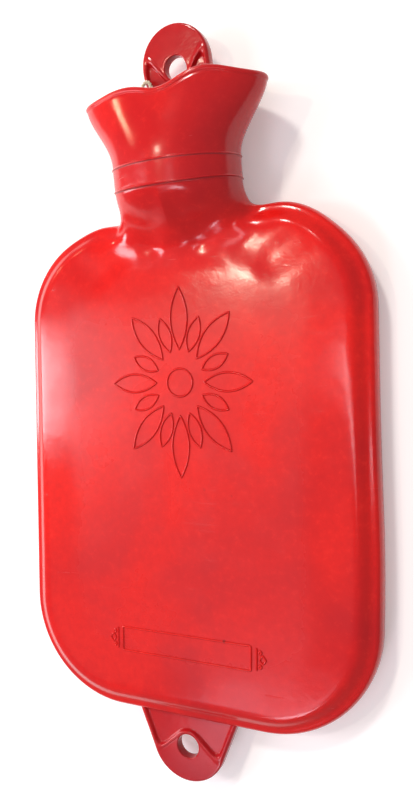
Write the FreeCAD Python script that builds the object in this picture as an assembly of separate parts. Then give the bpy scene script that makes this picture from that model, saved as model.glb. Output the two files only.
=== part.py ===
import FreeCAD, Part
import math
import os

# A moulded rubber hot water bottle, lying on its back with the front panel up.
# Millimetres and degrees. +X is across the bottle, +Y runs towards the mouth,
# +Z out of the front panel. The back panel rests on Z = 0, and the origin is in
# the middle of the length over both hanging tabs.
#
# The neck leans a little forward. Everything on it is drawn upright in a frame of
# its own, x across, y towards the back, z up along the neck from the shoulder line,
# and is tilted into place at the end.

Vec = FreeCAD.Vector

# Water bag
BAG_WIDTH = 200.0
BAG_LENGTH = 266.0
BAG_THICKNESS = 22.0
BOTTOM_CORNER = 58.0
SHOULDER_CORNER = 50.0
WALL = 2.8
PANEL_RISE = 2.0
PANEL_SETBACK = 1.7
PANEL_EASE = 0.7
SEAM_BAND = 0.8

# Neck and mouth
NECK_LEAN = 8.6
NECK_AXIS_HEIGHT = 23.4
NECK_CLEARANCE = 0.6
NECK_WIDTH = 68.8
NECK_DEPTH = 49.2
NECK_ROOT_DEPTH = 22.0
NECK_ROOT_WIDTH = 92.0
MOUTH_WIDTH = 100.0
MOUTH_DEPTH = 45.6
MOUTH_HEIGHT = 60.0
FLARE_START = 27.0
RIM_HUMP = 2.4
RIM_DIP = 3.2
RIM_DIP_REACH = 17.0
TRIM_LENGTH = 6.0
BEAD_RADIUS = 2.0
RING_WIDTH = 0.9
RING_RISE = 0.5
THROAT_WALL = 3.6
MOUTH_FOOT_SPREAD = 5.0
MOUTH_FOOT_GAP = 2.2
OVAL_SPACING = 5.0
OVAL_EXCESS = 0.01
WAVE_STEPS = 8
BEAD_SECTIONS = 28

# Screw ferrule in the neck
FERRULE_FOOT = 6.0
FERRULE_LENGTH = 22.0
FERRULE_RADIUS = 17.0
FERRULE_BORE = 13.6
ANCHOR_RADIUS = 19.0
ANCHOR_WIDTH = 1.6
LOW_ANCHOR_INSET = 8.0
TOP_ANCHOR_INSET = 2.5

# Stopper, washer and cord
RUNNING_FIT = 0.05
STOPPER_REACH = 14.0
FLANGE_RADIUS = 17.5
FLANGE_THICKNESS = 3.0
FLANGE_EASE = 0.8
WASHER_THICKNESS = 2.5
WASHER_RADIUS = 17.8
SEAT_GAP = 0.1
WAIST_RADIUS = 5.5
WAIST_LENGTH = 5.0
GRIP_WIDTH = 26.0
GRIP_THICKNESS = 9.0
GRIP_HEIGHT = 16.0
GRIP_CROWN = 8.0
GRIP_EASE = 2.5
CORD_DIAMETER = 2.0
CORD_GAP = 0.3
CORD_ARC_SHARE = 0.45
KNOT_RADIUS = 2.0

# Hanging tabs
TAB_THICKNESS = 6.0
TAB_EASE = 1.2
HOLE_DIAMETER = 12.6
HILL_RADIUS = 8.4
POCKET_DEPTH = 1.7
POCKET_INSET = 1.0
BORDER_WIDTH = 2.8
TOP_TAB_FRONT = 17.5
TOP_TAB_FOOT = 50.0
TOP_TAB_HOLE = 77.3
TOP_TAB_ROOT_WIDTH = 41.0
TOP_TAB_TIP_RADIUS = 19.5
TOP_TAB_TIP = 22.2
TOP_POCKET_TIP = 8.0
BOTTOM_TAB_FRONT = 15.5
BOTTOM_TAB_HOLE = 15.8
BOTTOM_TAB_ROOT_WIDTH = 62.0
BOTTOM_TAB_TIP_RADIUS = 21.5
BOTTOM_TAB_TIP = 18.9
BOTTOM_TAB_SINK = 2.0
BOTTOM_POCKET_TIP = 4.6
TAB_STUB = 1.0

# Raised relief on the front panel
RELIEF_RISE = 0.7
RELIEF_SINK = 0.4
RELIEF_LINE = 1.3
MEDALLION_WIDTH = 82.0
MEDALLION_LENGTH = 102.0
MEDALLION_CENTRE = 180.0
PETAL_PAIRS = 8
PETAL_WIDTH = 11.0
PETAL_POINT = 2.9
PETAL_FOOT_SHARE = 0.32
SHORT_PETAL_SHARE = 0.74
HUB_RADIUS = 8.0
PLATE_WIDTH = 76.0
PLATE_HEIGHT = 14.0
PLATE_CENTRE = 40.2
PLATE_ORNAMENT = 7.0

# Places that follow from the sizes above
lean = math.radians(NECK_LEAN)
seam_height = BAG_THICKNESS / 2
rim_thickness = BAG_THICKNESS - 2 * PANEL_RISE
edge_roll = (rim_thickness - SEAM_BAND) / 2
panel_margin = edge_roll + PANEL_SETBACK
ferrule_top = FERRULE_FOOT + FERRULE_LENGTH
low_anchor = FERRULE_FOOT + LOW_ANCHOR_INSET
anchor_heights = (low_anchor, ferrule_top - TOP_ANCHOR_INSET)
rim_top = MOUTH_HEIGHT + RIM_HUMP
trim_height = rim_top + TRIM_LENGTH
washer_foot = ferrule_top + SEAT_GAP
flange_foot = washer_foot + WASHER_THICKNESS + SEAT_GAP
waist_foot = flange_foot + FLANGE_THICKNESS
grip_foot = waist_foot + WAIST_LENGTH
shoulder_line = BAG_LENGTH - NECK_ROOT_DEPTH - 2 * WALL
top_tab_back = TOP_TAB_FRONT + TAB_THICKNESS
tip_loss = TAB_EASE * (math.cos(lean) + math.sin(lean) - 1)
top_tip = (TOP_TAB_HOLE + TOP_TAB_TIP) * math.cos(lean) + top_tab_back * math.sin(lean) - tip_loss
bottom_tip = BOTTOM_TAB_HOLE + BOTTOM_TAB_TIP
middle = (BAG_LENGTH + top_tip - bottom_tip) / 2
neck_place = FreeCAD.Placement(
    Vec(0, BAG_LENGTH - middle, NECK_AXIS_HEIGHT),
    FreeCAD.Rotation(Vec(1, 0, 0), NECK_LEAN - 90))


def on_neck(shape):
    """Tilt a shape from the neck's own frame into place."""
    shape.Placement = neck_place.multiply(shape.Placement)
    return shape


def plan_wire(inset, height):
    """Outline of the bag seen from the front, drawn in by an inset, at one height."""
    half = BAG_WIDTH / 2 - inset
    low = inset - middle
    high = BAG_LENGTH - inset - middle
    bottom = BOTTOM_CORNER - inset
    shoulder = SHOULDER_CORNER - inset

    def corner(x, y, radius, start):
        centre = Vec(x, y, height)
        spots = [centre + Vec(radius * math.cos(math.radians(turn)),
                              radius * math.sin(math.radians(turn)), 0)
                 for turn in (start, start + 45, start + 90)]
        return Part.Arc(*spots).toShape()

    corners = [corner(half - bottom, low + bottom, bottom, -90),
               corner(half - shoulder, high - shoulder, shoulder, 0),
               corner(shoulder - half, high - shoulder, shoulder, 90),
               corner(bottom - half, low + bottom, bottom, 180)]
    edges = []
    for here, after in zip(corners, corners[1:] + corners[:1]):
        edges += [here, Part.makeLine(here.Vertexes[-1].Point, after.Vertexes[0].Point)]
    return Part.Wire(edges)


def plan_slab(inset, low, high, rounding):
    """A slab of the bag's outline with both its edges rounded."""
    slab = Part.Face(plan_wire(inset, low)).extrude(Vec(0, 0, high - low))
    rims = [edge for edge in slab.Edges if edge.BoundBox.ZLength < 1e-6]
    return slab.makeFillet(rounding, rims)


def bag_form(wall):
    """The bag, or its cavity when a wall is given: a rolled rim between two panels."""
    rim = plan_slab(wall, PANEL_RISE + wall, BAG_THICKNESS - PANEL_RISE - wall, edge_roll - wall)
    panels = plan_slab(panel_margin + wall, wall, BAG_THICKNESS - wall, PANEL_EASE)
    return rim.fuse(panels)


def ease(share):
    """A smooth step from 0 to 1."""
    share = min(max(share, 0), 1)
    return share * share * (3 - 2 * share)


def settle(rise):
    """How far the neck's ovals have sunk from the neck's axis to the bag's middle plane, 0 to 1."""
    return 1 - ease((rise + NECK_ROOT_DEPTH) / (NECK_ROOT_DEPTH + low_anchor))


def flare(rise):
    """How far the neck has opened out to the mouth, 0 to 1."""
    return ease((rise - FLARE_START) / (rim_top - FLARE_START))


def neck_oval(rise, half_width, half_depth):
    """An oval across the neck, on its axis or between there and the bag's middle plane."""
    drop = (NECK_AXIS_HEIGHT + rise * math.sin(lean) - seam_height) / math.cos(lean)
    oval = Part.Ellipse(Vec(0, settle(rise) * drop, rise), half_width, half_depth)
    return Part.Wire(oval.toShape())


def neck_half_width(rise):
    """Half the neck's width: spread at the shoulder, straight at the ferrule, flared at the mouth."""
    spread = 1 - min(max((rise + NECK_ROOT_DEPTH) / (NECK_ROOT_DEPTH + FERRULE_FOOT), 0), 1)
    width = NECK_WIDTH + (NECK_ROOT_WIDTH - NECK_WIDTH) * spread ** 3
    return (width + (MOUTH_WIDTH - NECK_WIDTH) * flare(rise)) / 2


def neck_half_depth(rise):
    """Half the neck's depth: as thick as the bag at its root, with its back just off the table."""
    if rise < low_anchor:
        axis = NECK_AXIS_HEIGHT + rise * math.sin(lean)
        centre = axis + settle(rise) * (seam_height - axis)
        return min(centre / math.cos(lean) - NECK_CLEARANCE, NECK_DEPTH / 2)
    return (NECK_DEPTH + (MOUTH_DEPTH - NECK_DEPTH) * flare(rise)) / 2


def rises(low, high):
    """Evenly spaced heights for the ovals of a loft."""
    count = max(2, round((high - low) / OVAL_SPACING))
    return [low + (high - low) * step / count for step in range(count + 1)]


def neck_form():
    """Outer form of the neck and mouth, from inside the bag to above the rim."""
    ovals = [neck_oval(rise, neck_half_width(rise), neck_half_depth(rise))
             for rise in rises(-NECK_ROOT_DEPTH, trim_height)]
    form = Part.makeLoft(ovals, True, False)
    for height in anchor_heights:
        foot = height - RING_WIDTH / 2
        ring = neck_oval(foot, neck_half_width(foot) + RING_RISE, neck_half_depth(foot) + RING_RISE)
        form = form.fuse(Part.Face(ring).extrude(Vec(0, 0, RING_WIDTH)))
    return form


def rim_height(x):
    """Height of the mouth's wavy edge above the shoulder, at a place across it."""
    share = x / (MOUTH_WIDTH / 2)
    hump = RIM_HUMP * math.sin(math.pi * min(abs(share), 1)) ** 2
    dip = RIM_DIP * math.exp(-(x / RIM_DIP_REACH) ** 2)
    return MOUTH_HEIGHT + hump - dip


def above_rim():
    """Everything above the wavy edge, which is cut away."""
    reach = MOUTH_WIDTH / 2 + TRIM_LENGTH
    places = [reach * step / WAVE_STEPS for step in range(-WAVE_STEPS, WAVE_STEPS + 1)]
    spots = [Vec(x, -MOUTH_WIDTH, rim_height(x)) for x in places]
    wave = Part.BSplineCurve()
    wave.interpolate(spots)
    lift = Vec(0, 0, MOUTH_HEIGHT)
    edges = [wave.toShape(),
             Part.makeLine(spots[-1], spots[-1] + lift),
             Part.makeLine(spots[-1] + lift, spots[0] + lift),
             Part.makeLine(spots[0] + lift, spots[0])]
    return Part.Face(Part.Wire(edges)).extrude(Vec(0, 2 * MOUTH_WIDTH, 0))


def rim_bead():
    """The rolled bead that runs along the wavy edge."""
    half_width = MOUTH_WIDTH / 2 - WALL / 2
    half_depth = MOUTH_DEPTH / 2 - WALL / 2
    turns = [2 * math.pi * step / BEAD_SECTIONS for step in range(BEAD_SECTIONS)]
    spots = [Vec(half_width * math.cos(turn), half_depth * math.sin(turn),
                 rim_height(half_width * math.cos(turn))) for turn in turns]
    rings = []
    for before, spot, after in zip(spots[-1:] + spots, spots, spots[1:] + spots[:1]):
        rings.append(Part.Wire(Part.Circle(spot, after - before, BEAD_RADIUS).toShape()))
    return Part.makeLoft(rings, True, False, True)


def throat():
    """The way from the cavity up to the ferrule."""
    ovals = []
    low = -NECK_ROOT_DEPTH - WALL
    for rise in rises(low, FERRULE_FOOT + WALL):
        share = min((rise - low) / (FERRULE_FOOT - WALL - low), 1)
        spread = (NECK_ROOT_WIDTH / 2 - 2 * WALL - FERRULE_BORE) * (1 - share) ** 1.5
        half_depth = min(neck_half_depth(rise) - THROAT_WALL, FERRULE_BORE - OVAL_EXCESS)
        ovals.append(neck_oval(rise, FERRULE_BORE + spread, half_depth))
    return Part.makeLoft(ovals, True, False)


def mouth_hollow():
    """The open funnel above the ferrule, thick-walled at its foot and thin at the rim."""
    foot_width = WASHER_RADIUS + MOUTH_FOOT_SPREAD
    foot_depth = WASHER_RADIUS + MOUTH_FOOT_GAP
    ovals = []
    for rise in rises(ferrule_top, trim_height + WALL):
        thick = (1 - min((rise - ferrule_top) / (MOUTH_HEIGHT - ferrule_top), 1)) ** 2
        wall_width = WALL + (neck_half_width(ferrule_top) - foot_width - WALL) * thick
        wall_depth = WALL + (neck_half_depth(ferrule_top) - foot_depth - WALL) * thick
        ovals.append(neck_oval(rise, neck_half_width(rise) - wall_width,
                               neck_half_depth(rise) - wall_depth))
    return Part.makeLoft(ovals, True, False)


def ferrule_envelope():
    """Outer form of the screw ferrule with its two anchor flanges."""
    body = Part.makeCylinder(FERRULE_RADIUS, FERRULE_LENGTH, Vec(0, 0, FERRULE_FOOT))
    for height in anchor_heights:
        flange = Part.makeCylinder(ANCHOR_RADIUS, ANCHOR_WIDTH, Vec(0, 0, height - ANCHOR_WIDTH / 2))
        body = body.fuse(flange)
    return body.removeSplitter()


def ferrule():
    """The metal ferrule: anchored in the rubber, bored for the stopper."""
    bore = Part.makeCylinder(FERRULE_BORE, FERRULE_LENGTH, Vec(0, 0, FERRULE_FOOT))
    return ferrule_envelope().cut(bore)


def tangent_spots(far, radius):
    """Where the two lines from a far point touch a circle about the origin, right one first."""
    distance = far.Length
    facing = math.atan2(far.y, far.x)
    spread = math.acos(radius / distance)
    return [Vec(radius * math.cos(facing + turn), radius * math.sin(facing + turn), 0)
            for turn in (-spread, spread)]


def tab_outline(root_half, root, tip_radius, tip):
    """A tab's face: straight sides from the root that run tangent into a round tip."""
    centre = Vec(0, tip - tip_radius, 0)
    right_foot = Vec(root_half, root, 0)
    touch = tangent_spots(right_foot - centre, tip_radius)[1] + centre
    mirrored = Vec(-touch.x, touch.y, 0)
    left_foot = Vec(-root_half, root, 0)
    edges = [Part.makeLine(right_foot, touch),
             Part.Arc(touch, Vec(0, tip, 0), mirrored).toShape(),
             Part.makeLine(mirrored, left_foot),
             Part.makeLine(left_foot, right_foot)]
    return Part.Face(Part.Wire(edges))


def hill_face(pocket_half, pocket_tip, reach):
    """Everything on the tip's side of the hill line, which passes just inside the hole."""
    right_tip = Vec(pocket_half, pocket_tip, 0)
    touch = tangent_spots(right_tip, HILL_RADIUS)[0]
    outline = [Vec(-touch.x, touch.y, 0), Vec(-pocket_half, pocket_tip, 0),
               Vec(-reach, pocket_tip, 0), Vec(-reach, reach, 0), Vec(reach, reach, 0),
               Vec(reach, pocket_tip, 0), right_tip, touch]
    edges = [Part.makeLine(a, b) for a, b in zip(outline, outline[1:])]
    edges.append(Part.Arc(touch, Vec(0, -HILL_RADIUS, 0), outline[0]).toShape())
    return Part.Face(Part.Wire(edges))


def hanging_tab(root_half, root, tip_radius, tip, pocket_tip):
    """A flat tab with its hole at the origin, its tip towards +Y and its front face at Z = 0."""
    down = Vec(0, 0, -TAB_THICKNESS)
    tab = tab_outline(root_half, root, tip_radius, tip).extrude(down)
    rims = [edge for edge in tab.Edges
            if edge.BoundBox.ZLength < 1e-6 and edge.BoundBox.YMax > root + 1e-3]
    tab = tab.makeFillet(TAB_EASE, rims)
    pocket_half = tip_radius - BORDER_WIDTH - POCKET_INSET
    pocket = tab_outline(root_half - BORDER_WIDTH, root, tip_radius - BORDER_WIDTH, tip - BORDER_WIDTH)
    pocket = pocket.cut(hill_face(pocket_half, pocket_tip, 2 * root_half))
    tab = tab.cut(pocket.extrude(Vec(0, 0, -POCKET_DEPTH)))
    hole = Part.makeCylinder(HOLE_DIAMETER / 2, TAB_THICKNESS, down)
    return tab.cut(hole)


def top_tab():
    """The upper tab, one with the mouth's back wall, in the neck's frame."""
    root = TOP_TAB_FOOT - TOP_TAB_HOLE
    tab = hanging_tab(TOP_TAB_ROOT_WIDTH / 2, root, TOP_TAB_TIP_RADIUS, TOP_TAB_TIP, TOP_POCKET_TIP)
    tab.rotate(Vec(0, 0, 0), Vec(1, 0, 0), 90)
    tab.translate(Vec(0, TOP_TAB_FRONT, TOP_TAB_HOLE))
    side = [Vec(-MOUTH_WIDTH, top_tab_back - TAB_THICKNESS / 2, TOP_TAB_FOOT),
            Vec(-MOUTH_WIDTH, top_tab_back, MOUTH_HEIGHT),
            Vec(-MOUTH_WIDTH, top_tab_back + TAB_THICKNESS, TOP_TAB_FOOT)]
    wedge = Part.Face(Part.makePolygon(side + side[:1])).extrude(Vec(2 * MOUTH_WIDTH, 0, 0))
    return tab.cut(wedge)


def bottom_tab():
    """The lower tab, which grows out of the bag's bottom edge."""
    root = -BOTTOM_TAB_HOLE - BOTTOM_TAB_SINK
    tab = hanging_tab(BOTTOM_TAB_ROOT_WIDTH / 2, root, BOTTOM_TAB_TIP_RADIUS, BOTTOM_TAB_TIP,
                      BOTTOM_POCKET_TIP)
    tab.rotate(Vec(0, 0, 0), Vec(0, 0, 1), 180)
    tab.translate(Vec(0, -BOTTOM_TAB_HOLE - middle, BOTTOM_TAB_FRONT))
    return tab


def lens_face(start, end, width):
    """A pointed oval between two points."""
    across = (end - start).cross(Vec(0, 0, 1)).normalize() * (width / 2)
    centre = (start + end) / 2
    edges = [Part.Arc(start, centre + across, end).toShape(),
             Part.Arc(end, centre - across, start).toShape()]
    return Part.Face(Part.Wire(edges))


def petal(turn, length_share):
    """One petal's raised outline, on an oval rosette."""
    aim = Vec(MEDALLION_WIDTH / 2 * math.cos(turn), MEDALLION_LENGTH / 2 * math.sin(turn), 0)
    start = aim * PETAL_FOOT_SHARE
    end = aim * length_share
    inward = (end - start).normalize() * PETAL_POINT
    width = PETAL_WIDTH * length_share
    hole = lens_face(start + inward, end - inward, width - 2 * RELIEF_LINE)
    return lens_face(start, end, width).cut(hole)


def disc(radius):
    """A round face about the origin."""
    return Part.Face(Part.Wire(Part.Circle(Vec(0, 0, 0), Vec(0, 0, 1), radius).toShape()))


def medallion():
    """A plain rosette: long and short petals in turn round a ringed hub."""
    faces = [disc(HUB_RADIUS).cut(disc(HUB_RADIUS - RELIEF_LINE))]
    for index in range(PETAL_PAIRS):
        turn = 2 * math.pi * index / PETAL_PAIRS
        faces.append(petal(turn, 1))
        faces.append(petal(turn + math.pi / PETAL_PAIRS, SHORT_PETAL_SHARE))
    return faces, MEDALLION_CENTRE


def rectangle(width, height):
    """A rectangle about the origin."""
    return Part.makePlane(width, height, Vec(-width / 2, -height / 2, 0))


def plate():
    """A bare plate: a raised border with a small lozenge beyond each end."""
    faces = [rectangle(PLATE_WIDTH, PLATE_HEIGHT).cut(
        rectangle(PLATE_WIDTH - 2 * RELIEF_LINE, PLATE_HEIGHT - 2 * RELIEF_LINE))]
    reach = PLATE_ORNAMENT / 2
    for side in (-1, 1):
        centre = Vec(side * (PLATE_WIDTH / 2 + reach + RELIEF_LINE), 0, 0)
        spots = [centre + Vec(reach, 0, 0), centre + Vec(0, reach, 0),
                 centre - Vec(reach, 0, 0), centre - Vec(0, reach, 0)]
        faces.append(Part.Face(Part.makePolygon(spots + spots[:1])))
    return faces, PLATE_CENTRE


def relief():
    """All raised lines of the front panel, as solids that start just under its surface."""
    solids = []
    for faces, centre in (medallion(), plate()):
        for face in faces:
            face.translate(Vec(0, centre - middle, BAG_THICKNESS - RELIEF_SINK))
            solids.append(face.extrude(Vec(0, 0, RELIEF_SINK + RELIEF_RISE)))
    return solids


def bottle():
    """The whole moulded bottle: bag, neck, mouth and both tabs in one piece of rubber."""
    skin = bag_form(0).fuse(on_neck(neck_form().cut(above_rim()))).fuse(bottom_tab())
    for hollow in (bag_form(WALL), on_neck(throat()), on_neck(ferrule_envelope()),
                   on_neck(mouth_hollow())):
        skin = skin.cut(hollow)
    return skin.fuse(on_neck(rim_bead())).fuse(on_neck(top_tab())).fuse(relief())


def grip():
    """The wing that turns the stopper: flat sides, a round crown and eased edges."""
    half = GRIP_WIDTH / 2
    front = -GRIP_THICKNESS / 2
    crown = grip_foot + GRIP_HEIGHT
    corners = [Vec(half, front, crown - GRIP_CROWN), Vec(-half, front, crown - GRIP_CROWN),
               Vec(-half, front, grip_foot), Vec(half, front, grip_foot)]
    edges = [Part.makeLine(a, b) for a, b in zip(corners[1:], corners[2:] + corners[:1])]
    edges.append(Part.Arc(corners[0], Vec(0, front, crown), corners[1]).toShape())
    wing = Part.Face(Part.Wire(edges)).extrude(Vec(0, GRIP_THICKNESS, 0))
    rims = [edge for edge in wing.Edges if edge.BoundBox.YLength < 1e-6]
    return wing.makeFillet(GRIP_EASE, rims)


def panel_room(low, high):
    """The room of one panel's wall, inside the panel's outline and below the shoulder line."""
    room = Part.Face(plan_wire(panel_margin + WALL, low)).extrude(Vec(0, 0, high - low))
    return room.common(bag_room())


def room_below(line):
    """All the room below a line across the bag, given as a height above its bottom edge."""
    reach = bottom_tip + BAG_WIDTH
    corner = Vec(-BAG_WIDTH, -reach - middle, -BAG_WIDTH)
    return Part.makeBox(2 * BAG_WIDTH, reach + line, 2 * BAG_WIDTH, corner)


def bag_room():
    """The room of the bag below the shoulder line."""
    return room_below(shoulder_line).cut(room_below(-TAB_STUB))


def top_tab_room():
    """The room above the mouth's rim, which only the upper tab reaches."""
    corner = Vec(-BAG_WIDTH, -BAG_WIDTH, rim_top + BEAD_RADIUS + TAB_STUB)
    return on_neck(Part.makeBox(2 * BAG_WIDTH, 2 * BAG_WIDTH, BAG_WIDTH, corner))


def walls(skin):
    """The moulded bottle parted into its walls: two panels, the rim round them, the neck with
    its shoulders and mouth, and the two tabs."""
    front = panel_room(BAG_THICKNESS - WALL, BAG_THICKNESS + WALL)
    back = panel_room(-WALL, WALL)
    bag = skin.common(bag_room())
    above = skin.cut(room_below(shoulder_line))
    return {"front_panel": bag.common(front),
            "back_panel": bag.common(back),
            "bag_rim": bag.cut(front).cut(back),
            "neck_and_mouth": above.cut(top_tab_room()),
            "upper_tab": above.common(top_tab_room()),
            "lower_tab": skin.common(room_below(-TAB_STUB))}


def stopper():
    """The screw stopper: threaded shank, flange, waist for the cord and its wing."""
    shank_foot = ferrule_top - STOPPER_REACH
    shank = Part.makeCylinder(FERRULE_BORE - RUNNING_FIT, flange_foot - shank_foot,
                              Vec(0, 0, shank_foot))
    flange = Part.makeCylinder(FLANGE_RADIUS, FLANGE_THICKNESS, Vec(0, 0, flange_foot))
    flange = flange.makeFillet(FLANGE_EASE, flange.Edges[:1])
    waist = Part.makeCylinder(WAIST_RADIUS, WAIST_LENGTH, Vec(0, 0, waist_foot))
    return shank.fuse([flange, waist, grip()])


def washer():
    """The rubber washer under the stopper's flange."""
    ring = Part.makeCylinder(WASHER_RADIUS, WASHER_THICKNESS, Vec(0, 0, washer_foot))
    bore = Part.makeCylinder(FERRULE_BORE + RUNNING_FIT, WASHER_THICKNESS, Vec(0, 0, washer_foot))
    return ring.cut(bore)


# Route of the cord, in the neck's frame: out from the knot beside the waist, up the back of
# the mouth, over in a small bight in front of the upper tab, and back down to the knot
CORD_ROUTE = [(-8.4, 4.0, 36.2), (-13.6, 6.6, 36.6), (-17.8, 9.4, 40.0), (-20.4, 12.0, 46.4),
              (-21.6, 13.8, 54.2), (-22.2, 15.0, 62.2), (-22.0, 15.8, 68.6), (-20.4, 16.1, 72.6),
              (-17.6, 16.1, 73.6), (-15.6, 15.9, 70.4), (-14.7, 15.4, 64.2), (-14.6, 14.5, 56.2),
              (-14.4, 13.4, 48.4), (-13.6, 12.2, 42.0), (-11.2, 9.8, 37.4), (-7.4, 6.0, 36.2)]


def cord():
    """A plain tube along the route: straight runs joined by tangent arcs."""
    spots = [Vec(*spot) for spot in CORD_ROUTE]
    runs = [after - before for before, after in zip(spots, spots[1:])]
    edges = []
    last = spots[0]
    radii = []
    for spot, before, after in zip(spots[1:], runs, runs[1:]):
        turn = before.getAngle(after)
        shorter = min(before.Length, after.Length)
        setback = CORD_ARC_SHARE * shorter
        radius = setback / math.tan(turn / 2)
        radii.append(radius)
        into = Vec(before).normalize()
        out = Vec(after).normalize()
        entry = spot - into * setback
        leave = spot + out * setback
        centre = spot + (out - into).normalize() * (radius / math.cos(turn / 2))
        midway = centre + (spot - centre).normalize() * radius
        edges += [Part.makeLine(last, entry), Part.Arc(entry, midway, leave).toShape()]
        last = leave
    edges.append(Part.makeLine(last, spots[-1]))
    path = Part.Wire(edges)
    ring = Part.Wire(Part.Circle(spots[0], runs[0], CORD_DIAMETER / 2).toShape())
    tube = path.makePipeShell([ring], True, False)
    section = math.pi * CORD_DIAMETER ** 2 / 4
    print("cord length %.1f, radii %s" % (path.Length, [round(radius, 1) for radius in radii]))
    print("cord volume %.2f against %.2f" % (tube.Volume, section * path.Length))
    return tube


def knot(tube):
    """The cord's turn round the stopper's waist, with the knot that both legs leave."""
    height = waist_foot + WAIST_LENGTH / 2
    ring_radius = WAIST_RADIUS + CORD_GAP + CORD_DIAMETER / 2
    ring = Part.makeTorus(ring_radius, CORD_DIAMETER / 2, Vec(0, 0, height))
    aim = Vec(CORD_ROUTE[0][0] + CORD_ROUTE[-1][0], CORD_ROUTE[0][1] + CORD_ROUTE[-1][1], 0)
    aim = aim.normalize() * (ring_radius + CORD_DIAMETER / 2) + Vec(0, 0, height)
    lump = Part.makeSphere(KNOT_RADIUS, aim)
    return ring.fuse(lump).cut(tube)


def main():
    """Build every piece and write each to its own file."""
    os.makedirs("parts", exist_ok=True)
    tube = cord()
    pieces = walls(bottle())
    pieces.update({"neck_ferrule": on_neck(ferrule()),
                   "stopper": on_neck(stopper()),
                   "stopper_washer": on_neck(washer()),
                   "cord_knot": on_neck(knot(tube)),
                   "pull_cord": on_neck(tube.copy())})
    for name, shape in pieces.items():
        if not shape.isValid() or len(shape.Solids) != 1:
            print("check", name, shape.isValid(), len(shape.Solids))
        shape.exportStep("parts/%s.step" % name)
        print(name, round(shape.Volume), shape.BoundBox)


main()
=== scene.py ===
import bpy
import bmesh
import math
import numpy as np
from mathutils import Matrix, Vector


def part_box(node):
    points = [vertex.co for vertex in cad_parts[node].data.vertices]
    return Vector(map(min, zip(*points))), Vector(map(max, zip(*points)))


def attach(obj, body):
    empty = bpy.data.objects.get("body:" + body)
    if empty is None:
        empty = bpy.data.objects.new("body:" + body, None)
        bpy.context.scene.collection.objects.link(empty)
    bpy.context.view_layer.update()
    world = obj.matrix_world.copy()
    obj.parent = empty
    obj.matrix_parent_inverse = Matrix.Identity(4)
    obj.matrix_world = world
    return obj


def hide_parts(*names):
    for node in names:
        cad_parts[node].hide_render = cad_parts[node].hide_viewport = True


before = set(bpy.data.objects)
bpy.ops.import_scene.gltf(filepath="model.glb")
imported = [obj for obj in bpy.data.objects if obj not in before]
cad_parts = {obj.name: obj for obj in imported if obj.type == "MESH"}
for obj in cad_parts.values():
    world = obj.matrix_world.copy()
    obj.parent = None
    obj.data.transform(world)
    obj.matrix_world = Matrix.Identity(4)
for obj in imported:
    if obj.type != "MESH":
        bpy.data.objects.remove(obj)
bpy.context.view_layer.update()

# A moulded rubber hot water bottle, lying on its back. Shapes are worked out in
# millimetres and become metres when they are made into meshes. h is a height above the
# bag's bottom edge, and s a height along the neck above the bag's top edge.
MM = 0.001

# Bag
BAG_WIDTH = 200.0
BAG_LENGTH = 266.0
BAG_TAPER = 0.8
BOTTOM_CORNER = 58.0
SHOULDER_CORNER = 50.0
SEAM_HEIGHT = 11.0
ROLL_WIDTH = 10.4
ROLL_HEIGHT = 8.7
ROLL_POWER = 2.65
PANEL_RISE = 1.9
CREASE_START = 7.0
CREASE_WIDTH = 7.0
EDGE_INSET = 11.6
EDGE_SLOPE = 0.26
EDGE_SOFTNESS = 0.9
BOTTOM_TAB_REACH = 34.7
TOP_TAB_SWAY = 1.6
BOTTOM_TAB_SWAY = 1.8

# Neck and mouth
NECK_LEAN = math.radians(8.6)
NECK_AXIS_HEIGHT = 23.4
NECK_CLEARANCE = 0.6
NECK_WIDTH = 68.8
NECK_DEPTH = 49.2
NECK_ROOT_DEPTH = 22.0
NECK_ROOT_WIDTH = 92.0
NECK_ROOT_SINK = 3.0
NECK_FOOT = 30.0
FILLET_FADE = 28.0
NECK_STRAIGHT = 12.0
LOW_RING = 14.0
TOP_RING = 25.5
RING_RISE = 0.4
RING_HALF_WIDTH = 0.55
FLARE_START = 27.0
MOUTH_WIDTH = 100.0
MOUTH_DEPTH = 45.6
MOUTH_HEIGHT = 60.0
RIM_HUMP = 2.4
RIM_DIP = 3.2
RIM_DIP_REACH = 17.0
RIM_WAVE_START = 40.0
BEAD_RADIUS = 1.7
WALL = 2.8
FERRULE_TOP = 28.0
BLEND = 14.0
FRONT_BLEND = 16.0
FILLET = 9.0
SIDE_BULGE = 3.4
MOUTH_SWAY = 3.0
MOUTH_SPREAD = 0.012
MOUTH_SINK = 3.6
SHOULDER_RIDE = 3.5
BACK_LOW = 0.1
BACK_SOFTNESS = 0.2

# The lopsided set of the old rubber. Each swell is a middle and a reach, each ramp a start
# and a width, and where a first number goes before them it is a height.
BULGE_POWER = 1.3
BULGE_SWELL = (95.0, 78.0)
BULGE_RAMP = (120.0, 100.0)
BULGE_RAMP_SHARE = 0.5
RIGHT_RIDE = (52.0, 24.0)
LEFT_RIDE = (-48.0, 16.0)
LEFT_RIDE_SHARE = 0.6
RIDE_ON = (225.0, 36.0)
RIDE_OFF = (272.0, 16.0)
LEAN_RAMP = (-12.0, 18.0)
SINK_RAMP = (22.0, 44.0)
RIM_SET = ((1.8, -8.0, 10.0), (-1.6, -32.0, 12.0), (2.2, 24.0, 16.0))

# The slack left margin: where its slope lies, how deep it is, and how it wavers
SAG_DEPTH = 4.4
SAG_MIDDLE = 78.0
SAG_SHIFTS = ((-10.0, 108.0, 24.0), (3.0, 75.0, 14.0), (3.0, 205.0, 16.0), (-4.0, 182.0, 12.0))
SAG_WIDTH = 26.0
SAG_ON = (22.0, 40.0)
SAG_OFF = (230.0, 24.0)
SAG_DEEPER_BELOW = 145.0
SAG_DEEPER_WIDTH = 30.0
SAG_DEEPER = 0.35

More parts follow.
